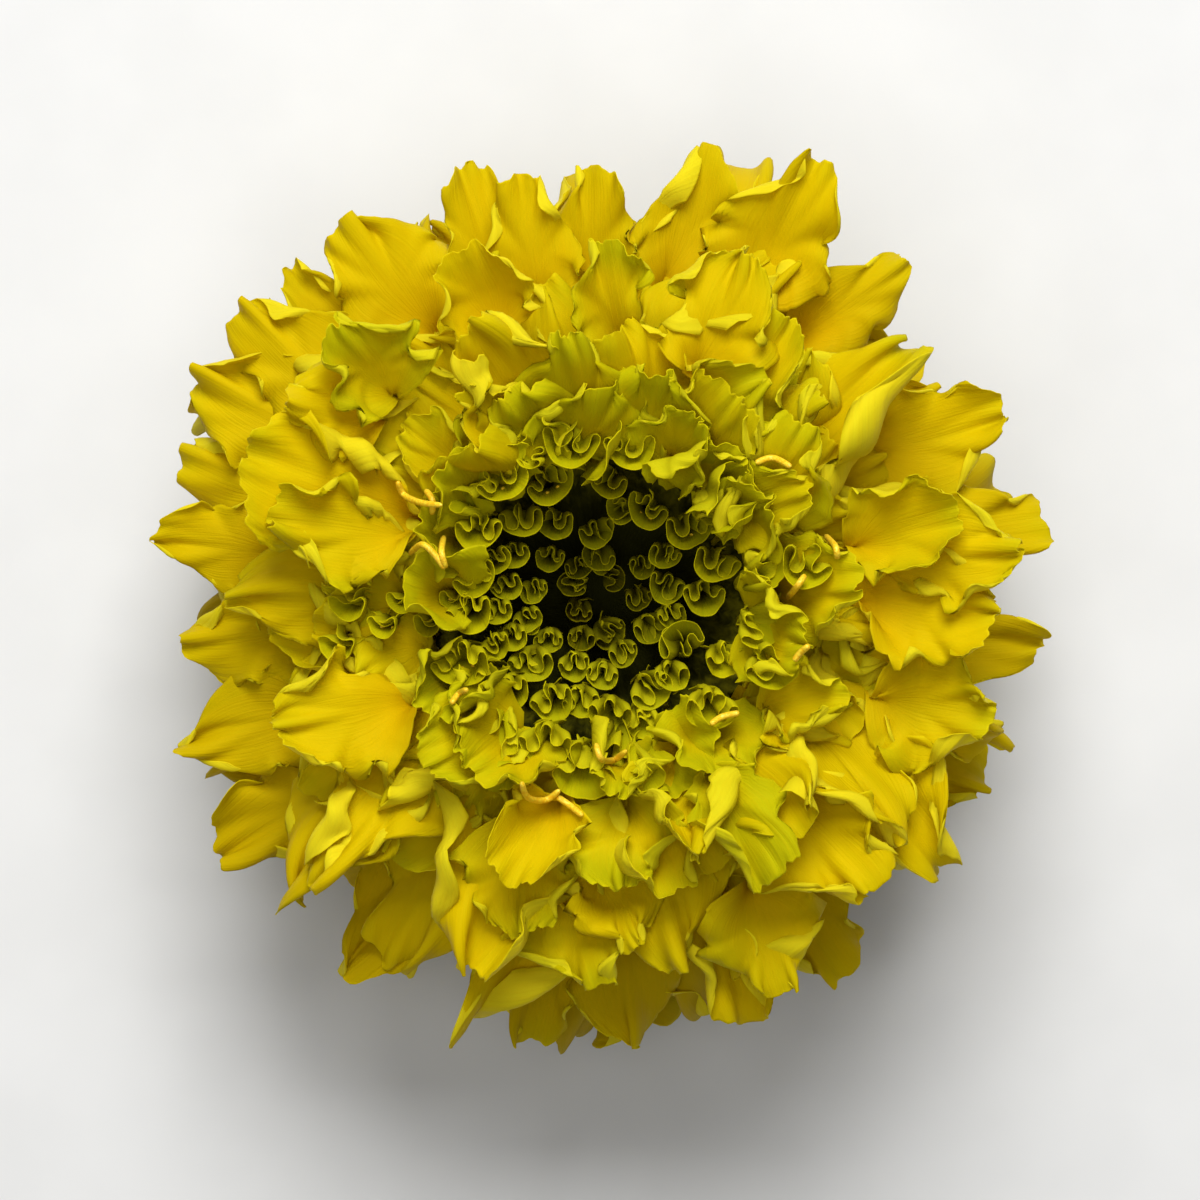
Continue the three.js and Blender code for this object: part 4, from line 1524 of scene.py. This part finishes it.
def round_rings(outline: Array, angles: Array, swell: Array) -> Array:
    """Rings of points about Z from [radius, height] points, their radius times the swell at each angle."""
    radius = outline[:, None, 0] * swell * np.ones(len(angles))
    height = np.broadcast_to(outline[:, None, 1], radius.shape)
    return np.stack([radius * np.cos(angles), radius * np.sin(angles), height], axis=-1)


STYLE_LINES: dict[str, tuple[tuple[float, float], ...]] = {
    "left_upper_long": ((447, 511), (425, 508), (408, 500), (402, 487)),
    "left_upper_short": ((430, 496), (437, 506), (436, 519)),
    "left_middle_curl": ((449, 573), (440, 560), (427, 549), (413, 558)),
    "left_middle_straight": ((450, 572), (446, 556), (447, 541)),
    "right_upper": ((751, 470), (768, 465), (785, 474)),
    "right_arch": ((821, 540), (828, 551), (830, 563)),
    "right_middle": ((784, 601), (791, 590), (799, 579)),
    "right_lower": ((788, 662), (794, 654), (802, 647)),
    "bottom_right": ((708, 724), (719, 717), (736, 713)),
    "bottom_loop": ((596, 742), (601, 757), (613, 760), (626, 750)),
    "bottom_boat_hook": ((524, 779), (530, 795), (547, 798), (561, 788)),
    "bottom_boat_line": ((558, 795), (570, 803), (583, 813)),
    "left_lower": ((456, 703), (463, 694), (471, 690)),
}


@dataclass(frozen=True)
class StyleBranches:
    """The curled orange style arms that lie in the open throats, and young pairs in the trumpets."""

    radius: float = 0.29
    young_radius: float = 0.2
    lift: float = 0.25
    places: int = 22
    sides: int = 8

    def build(self, sheets: Array, young: Florets) -> bpy.types.Object:
        """The piece that holds all the arms.

        Args:
            sheets: points of all the petals, [point, 3]; the arms of the photograph lie on the highest of them.
            young: the trumpets.

        Returns:
            The object.
        """
        lines = [self.laid(np.array(line, float), sheets) for line in STYLE_LINES.values()]
        radii = [self.tapered(self.radius)] * len(lines)
        for line in self.standing(young):
            lines.append(line)
            radii.append(self.tapered(self.young_radius))
        piece = tubes("style_branches", np.stack(lines), np.stack(radii), self.sides)
        piece.data.materials.append(StyleFinish().material())
        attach(piece, "root")
        LOG.info("style branches: %d", len(lines))
        return piece

    def tapered(self, radius: float) -> Array:
        """Radii along an arm: full in the middle and round at both ends."""
        share = np.linspace(-1, 1, self.places)
        return radius * np.sqrt(np.maximum(1 - np.abs(share) ** 8, 0.01))

    def laid(self, pixels: Array, sheets: Array) -> Array:
        """A smooth line through pixels of the photograph, each just over the highest petal point near it.

        Args:
            pixels: [pixel, 2].
            sheets: points of all the petals.

        Returns:
            Points along the line.
        """
        flat = np.stack([photo_point((x, y), 0) for x, y in pixels])
        near = np.linalg.norm(sheets[None, :, :2] - flat[:, None, :2], axis=-1) < 0.5
        found = np.where(near, sheets[None, :, 2], 20).max(axis=1)
        flat[:, 2] = found + self.radius + self.lift
        return spline_weights(self.places, len(flat)) @ flat

    def standing(self, young: Florets) -> list[Array]:
        """Two short arms in the mouths of about a third of the trumpets, bent away from each other.

        Args:
            young: the trumpets.

        Returns:
            The line of each arm.
        """
        some = young.chosen(chance(young.index, Draw.STYLES) < 0.35)
        along = unit(some.tip - some.throat)
        aside = unit(np.cross(along, some.upper))
        base = some.throat + 0.5 * (some.tip - some.throat) - some.upper * 0.08 * some.half_width[:, None]
        share = np.linspace(0, 1, self.places)[None, :, None]
        length = np.linalg.norm(some.tip - some.throat, axis=-1)
        lines: list[Array] = []
        for side in (-1, 1):
            rise = base[:, None] + along[:, None] * (0.36 * share) * per(length)
            lines.extend(rise + side * aside[:, None] * (0.22 + 0.4 * share**3))
        return lines


def tubes(name: str, lines: Array, radii: Array, sides: int) -> bpy.types.Object:
    """Closed round tubes along lines.

    Each ring stands square to its line: its two directions are the cross products with a fixed slanting vector.

    Args:
        name: the piece's name.
        lines: [tube, place, 3] in millimetres.
        radii: [tube, place].
        sides: how many sides a ring has.

    Returns:
        The object.
    """
    count, places = lines.shape[:2]
    along = unit(np.gradient(lines, axis=1))
    first = unit(np.cross(along, np.array([0.21, 0.17, 0.96])))
    second = np.cross(along, first)
    angles = np.linspace(0, 2 * math.pi, sides, endpoint=False)
    ring = first[:, :, None] * np.cos(angles)[:, None] + second[:, :, None] * np.sin(angles)[:, None]
    points = lines[:, :, None] + ring * radii[:, :, None, None]
    number = np.arange(count * places * sides).reshape(count, places, sides)
    following = np.roll(number, -1, axis=2)
    walls = np.stack([number[:, :-1], following[:, :-1], following[:, 1:], number[:, 1:]], axis=-1)
    ends = np.concatenate([number[:, 0, ::-1], number[:, -1]])
    return mesh_object(name, points.reshape(-1, 3), [walls.reshape(-1, 4), ends], {})


@dataclass(frozen=True)
class Calyx:
    """The green cup of ten joined bracts under the head, its teeth and its cut stalk."""

    outside: tuple[tuple[float, float], ...] = (
        (3.4, 0), (3.3, 1.4), (4.2, 2.8), (6.6, 5), (8.6, 8.6), (9.5, 12.5), (9.6, 16.6),
    )
    bracts: int = 10
    tooth: float = 3.2
    wall: float = 0.8
    floor: float = 8
    sides: int = 320
    rows: int = 46

    def build(self) -> bpy.types.Object:
        """The cup: up the outside, over the teeth and down the inside to its floor.

        Its radius swells by a rib up each bract, and its rim rises into a tooth there.

        Returns:
            The piece.
        """
        angles = np.linspace(0, 2 * math.pi, self.sides, endpoint=False)
        across = np.abs(np.mod(angles * self.bracts / (2 * math.pi), 1) * 2 - 1)
        tooth = self.tooth * (1 - across**0.8)
        outer = Profile(self.outside).at(np.linspace(0, 1, self.rows))
        rise = smooth(10, 16.6, outer[:, 1])
        rib = 0.035 * (1 - 2 * across**0.7) + 0.008 * np.cos(5 * self.bracts * angles)
        swell = 1 + rib[None] * smooth(2, 6, outer[:, 1])[:, None]
        up = round_rings(outer, angles, swell)
        up[..., 2] += rise[:, None] ** 2 * (0.4 + tooth)[None]
        inner = np.array([[self.outside[-1][0] - self.wall, 0.0]] * 6)
        down = round_rings(inner, angles, np.ones(1))
        fall = np.linspace(1, 0, 6)[:, None]
        low = self.floor + 1.5
        down[..., 2] = low + fall * (up[-1, :, 2] - 0.25 - low)
        bottom = np.array([[7.6, self.floor + 0.3], [5, self.floor], [0.2, self.floor]])
        end = round_rings(bottom, angles, np.ones(1))
        start = round_rings(np.array([[0.2, 0.0], [1.4, 0.0], [3.0, 0.0]]), angles, np.ones(1))
        piece = turned_surface("calyx_cup", np.concatenate([start, up, down, end]))
        piece.data.materials.append(CalyxFinish().material())
        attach(piece, "root")
        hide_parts("calyx")
        return piece


@dataclass(frozen=True)
class ClawBed:
    """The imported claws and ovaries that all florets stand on, seen deep between them."""

    outline: tuple[tuple[float, float], ...] = (
        (0, 9), (7.4, 9.4), (8.2, 13), (8.4, 17), (8.8, 19.5), (10.2, 21.5), (12.2, 23.4), (13.8, 25.6),
        (14.4, 27.6), (13.6, 28.8), (11.6, 27), (9.2, 23), (6.6, 19), (3.8, 15.4), (1.6, 13.6), (0, 13.2),
    )
    sides: int = 240
    ribs: int = 60
    rib_depth: float = 0.05

    def build(self) -> bpy.types.Object:
        """The bed, its radius swelled by a rib for each claw that leaves it.

        Returns:
            The piece.
        """
        outline = Profile(self.outline).at(np.linspace(0, 1, 6 * len(self.outline)))
        outline[:, 0] = np.maximum(outline[:, 0], 0.05)
        angles = np.linspace(0, 2 * math.pi, self.sides, endpoint=False)
        swell = 1 + self.rib_depth * np.abs(np.sin(self.ribs * angles / 2))
        piece = turned_surface("claw_bed", round_rings(outline, angles, swell[None]))
        piece.data.materials.append(ClawFinish().material())
        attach(piece, "root")
        return piece


@dataclass(frozen=True)
class Bloom:
    """All the florets of the head, in whorls, and their style branches."""

    head: Head = Head()
    room: RoomRule = RoomRule()
    ligule_grid: SheetGrid = SheetGrid(32, 49)
    trumpet_grid: SheetGrid = SheetGrid(28, 53)
    most_faces: int = 92000
    settling: Settling = Settling()

    def florets(self) -> tuple[Florets, Array]:
        """All florets, those of the photograph in their places.

        Returns:
            The florets, and their coarse moves apart.
        """
        spiral, features = self.head.florets(), photo_florets(PHOTO_FLORETS)
        stays = self.room.stays(spiral, features)
        florets = spiral.chosen(stays).joined(self.room.tucked(spiral.chosen(~stays))).joined(features)
        LOG.info("florets: %d of the spiral, %d in all", len(spiral.t), len(florets.t))
        return florets, self.settling.moves(florets)

    def build(self) -> list[bpy.types.Object]:
        """Builds every whorl.

        Returns:
            The pieces.
        """
        florets, moves = self.florets()
        petal = PetalFinish().material()
        young = florets.t >= self.head.trumpets_from
        pieces: list[bpy.types.Object] = []
        sheets: list[Array] = []
        for kind, mask, grid in (
            (FloretKind.RAY, ~young, self.ligule_grid),
            (FloretKind.TRUMPET, young, self.trumpet_grid),
        ):
            name, slot, node = kind.value
            order = np.nonzero(mask)[0][np.argsort(florets.t[mask], kind="stable")]
            groups = math.ceil(len(order) * 2 * grid.rows * grid.columns / self.most_faces)
            for number, chosen in enumerate(np.array_split(order, groups), start=1):
                some = florets.chosen(chosen)
                points = sheet_surface(some, grid) + self.settling.carried(moves[chosen], grid)
                points[..., 2] = np.maximum(points[..., 2], FLOOR_GAP)
                sheets.append(points.reshape(-1, 3))
                piece = ThinSheets().mesh(f"{name}_{number}", some, points, grid)
                piece.data.materials.append(petal)
                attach(piece, "root")
                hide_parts(node)
                pieces.append(piece)
        pieces.append(StyleBranches().build(np.concatenate(sheets), florets.chosen(young)))
        return pieces


@dataclass(frozen=True)
class Studio:
    """A pale floor, soft light from above and the photograph's camera, looking straight down. All in metres."""

    floor_side: float = 3.0
    view_height: float = 0.59
    view_level: float = 0.025
    film: float = 36
    sky: float = 0.07
    lamp_side: float = 0.5
    aim: tuple[float, float, float] = (0, 0, 0.02)
    key_place: tuple[float, float, float] = (0.02, 0.53, 0.64)
    key_watts: float = 8.9
    fill_place: tuple[float, float, float] = (-0.08, -0.12, 0.8)
    fill_watts: float = 2.0

    def build(self) -> None:
        """Makes the floor, the lights and the camera."""
        half = self.floor_side / 2
        corners = [(-half, -half, 0), (half, -half, 0), (half, half, 0), (-half, half, 0)]
        mesh = bpy.data.meshes.new("floor")
        mesh.from_pydata(corners, [], [(0, 1, 2, 3)])
        floor = bpy.data.objects.new("floor", mesh)
        bpy.context.scene.collection.objects.link(floor)
        mesh.materials.append(FloorFinish().material())

        world = bpy.context.scene.world or bpy.data.worlds.new("studio")
        bpy.context.scene.world = world
        world.use_nodes = True
        world.node_tree.nodes["Background"].inputs["Color"].default_value = (1, 1, 1, 1)
        world.node_tree.nodes["Background"].inputs["Strength"].default_value = self.sky
        self.light("key", self.key_place, self.key_watts)
        self.light("fill", self.fill_place, self.fill_watts)

        camera = bpy.data.objects.new("camera", bpy.data.cameras.new("camera"))
        camera.location = (0, 0, self.view_height)
        wide = PHOTO_SIDE * PHOTO_MM * MM
        camera.data.sensor_width = self.film
        camera.data.lens = self.film * (self.view_height - self.view_level) / wide
        bpy.context.scene.collection.objects.link(camera)
        bpy.context.scene.camera = camera
        bpy.context.scene.view_settings.view_transform = "Standard"
        LOG.info("studio: a floor, two lamps and a camera")

    def light(self, name: str, place: tuple[float, float, float], watts: float) -> None:
        """A square area light that looks at the head.

        Args:
            name: its name.
            place: where it hangs.
            watts: its power.
        """
        data = bpy.data.lights.new(name, "AREA")
        data.size = self.lamp_side
        data.energy = watts
        lamp = bpy.data.objects.new(name, data)
        lamp.location = place
        lamp.rotation_euler = Vector(np.array(self.aim) - np.array(place)).to_track_quat("-Z", "Y").to_euler()
        bpy.context.scene.collection.objects.link(lamp)


def main() -> None:
    """Builds the studio and the head, and reports each piece."""
    logging.basicConfig(level=logging.INFO, format="%(name)s: %(message)s")
    Studio().build()
    for piece in [Calyx().build(), ClawBed().build(), *Bloom().build()]:
        LOG.info("%s: %d faces", piece.name, len(piece.data.polygons))


if __name__ == "__main__":
    main()
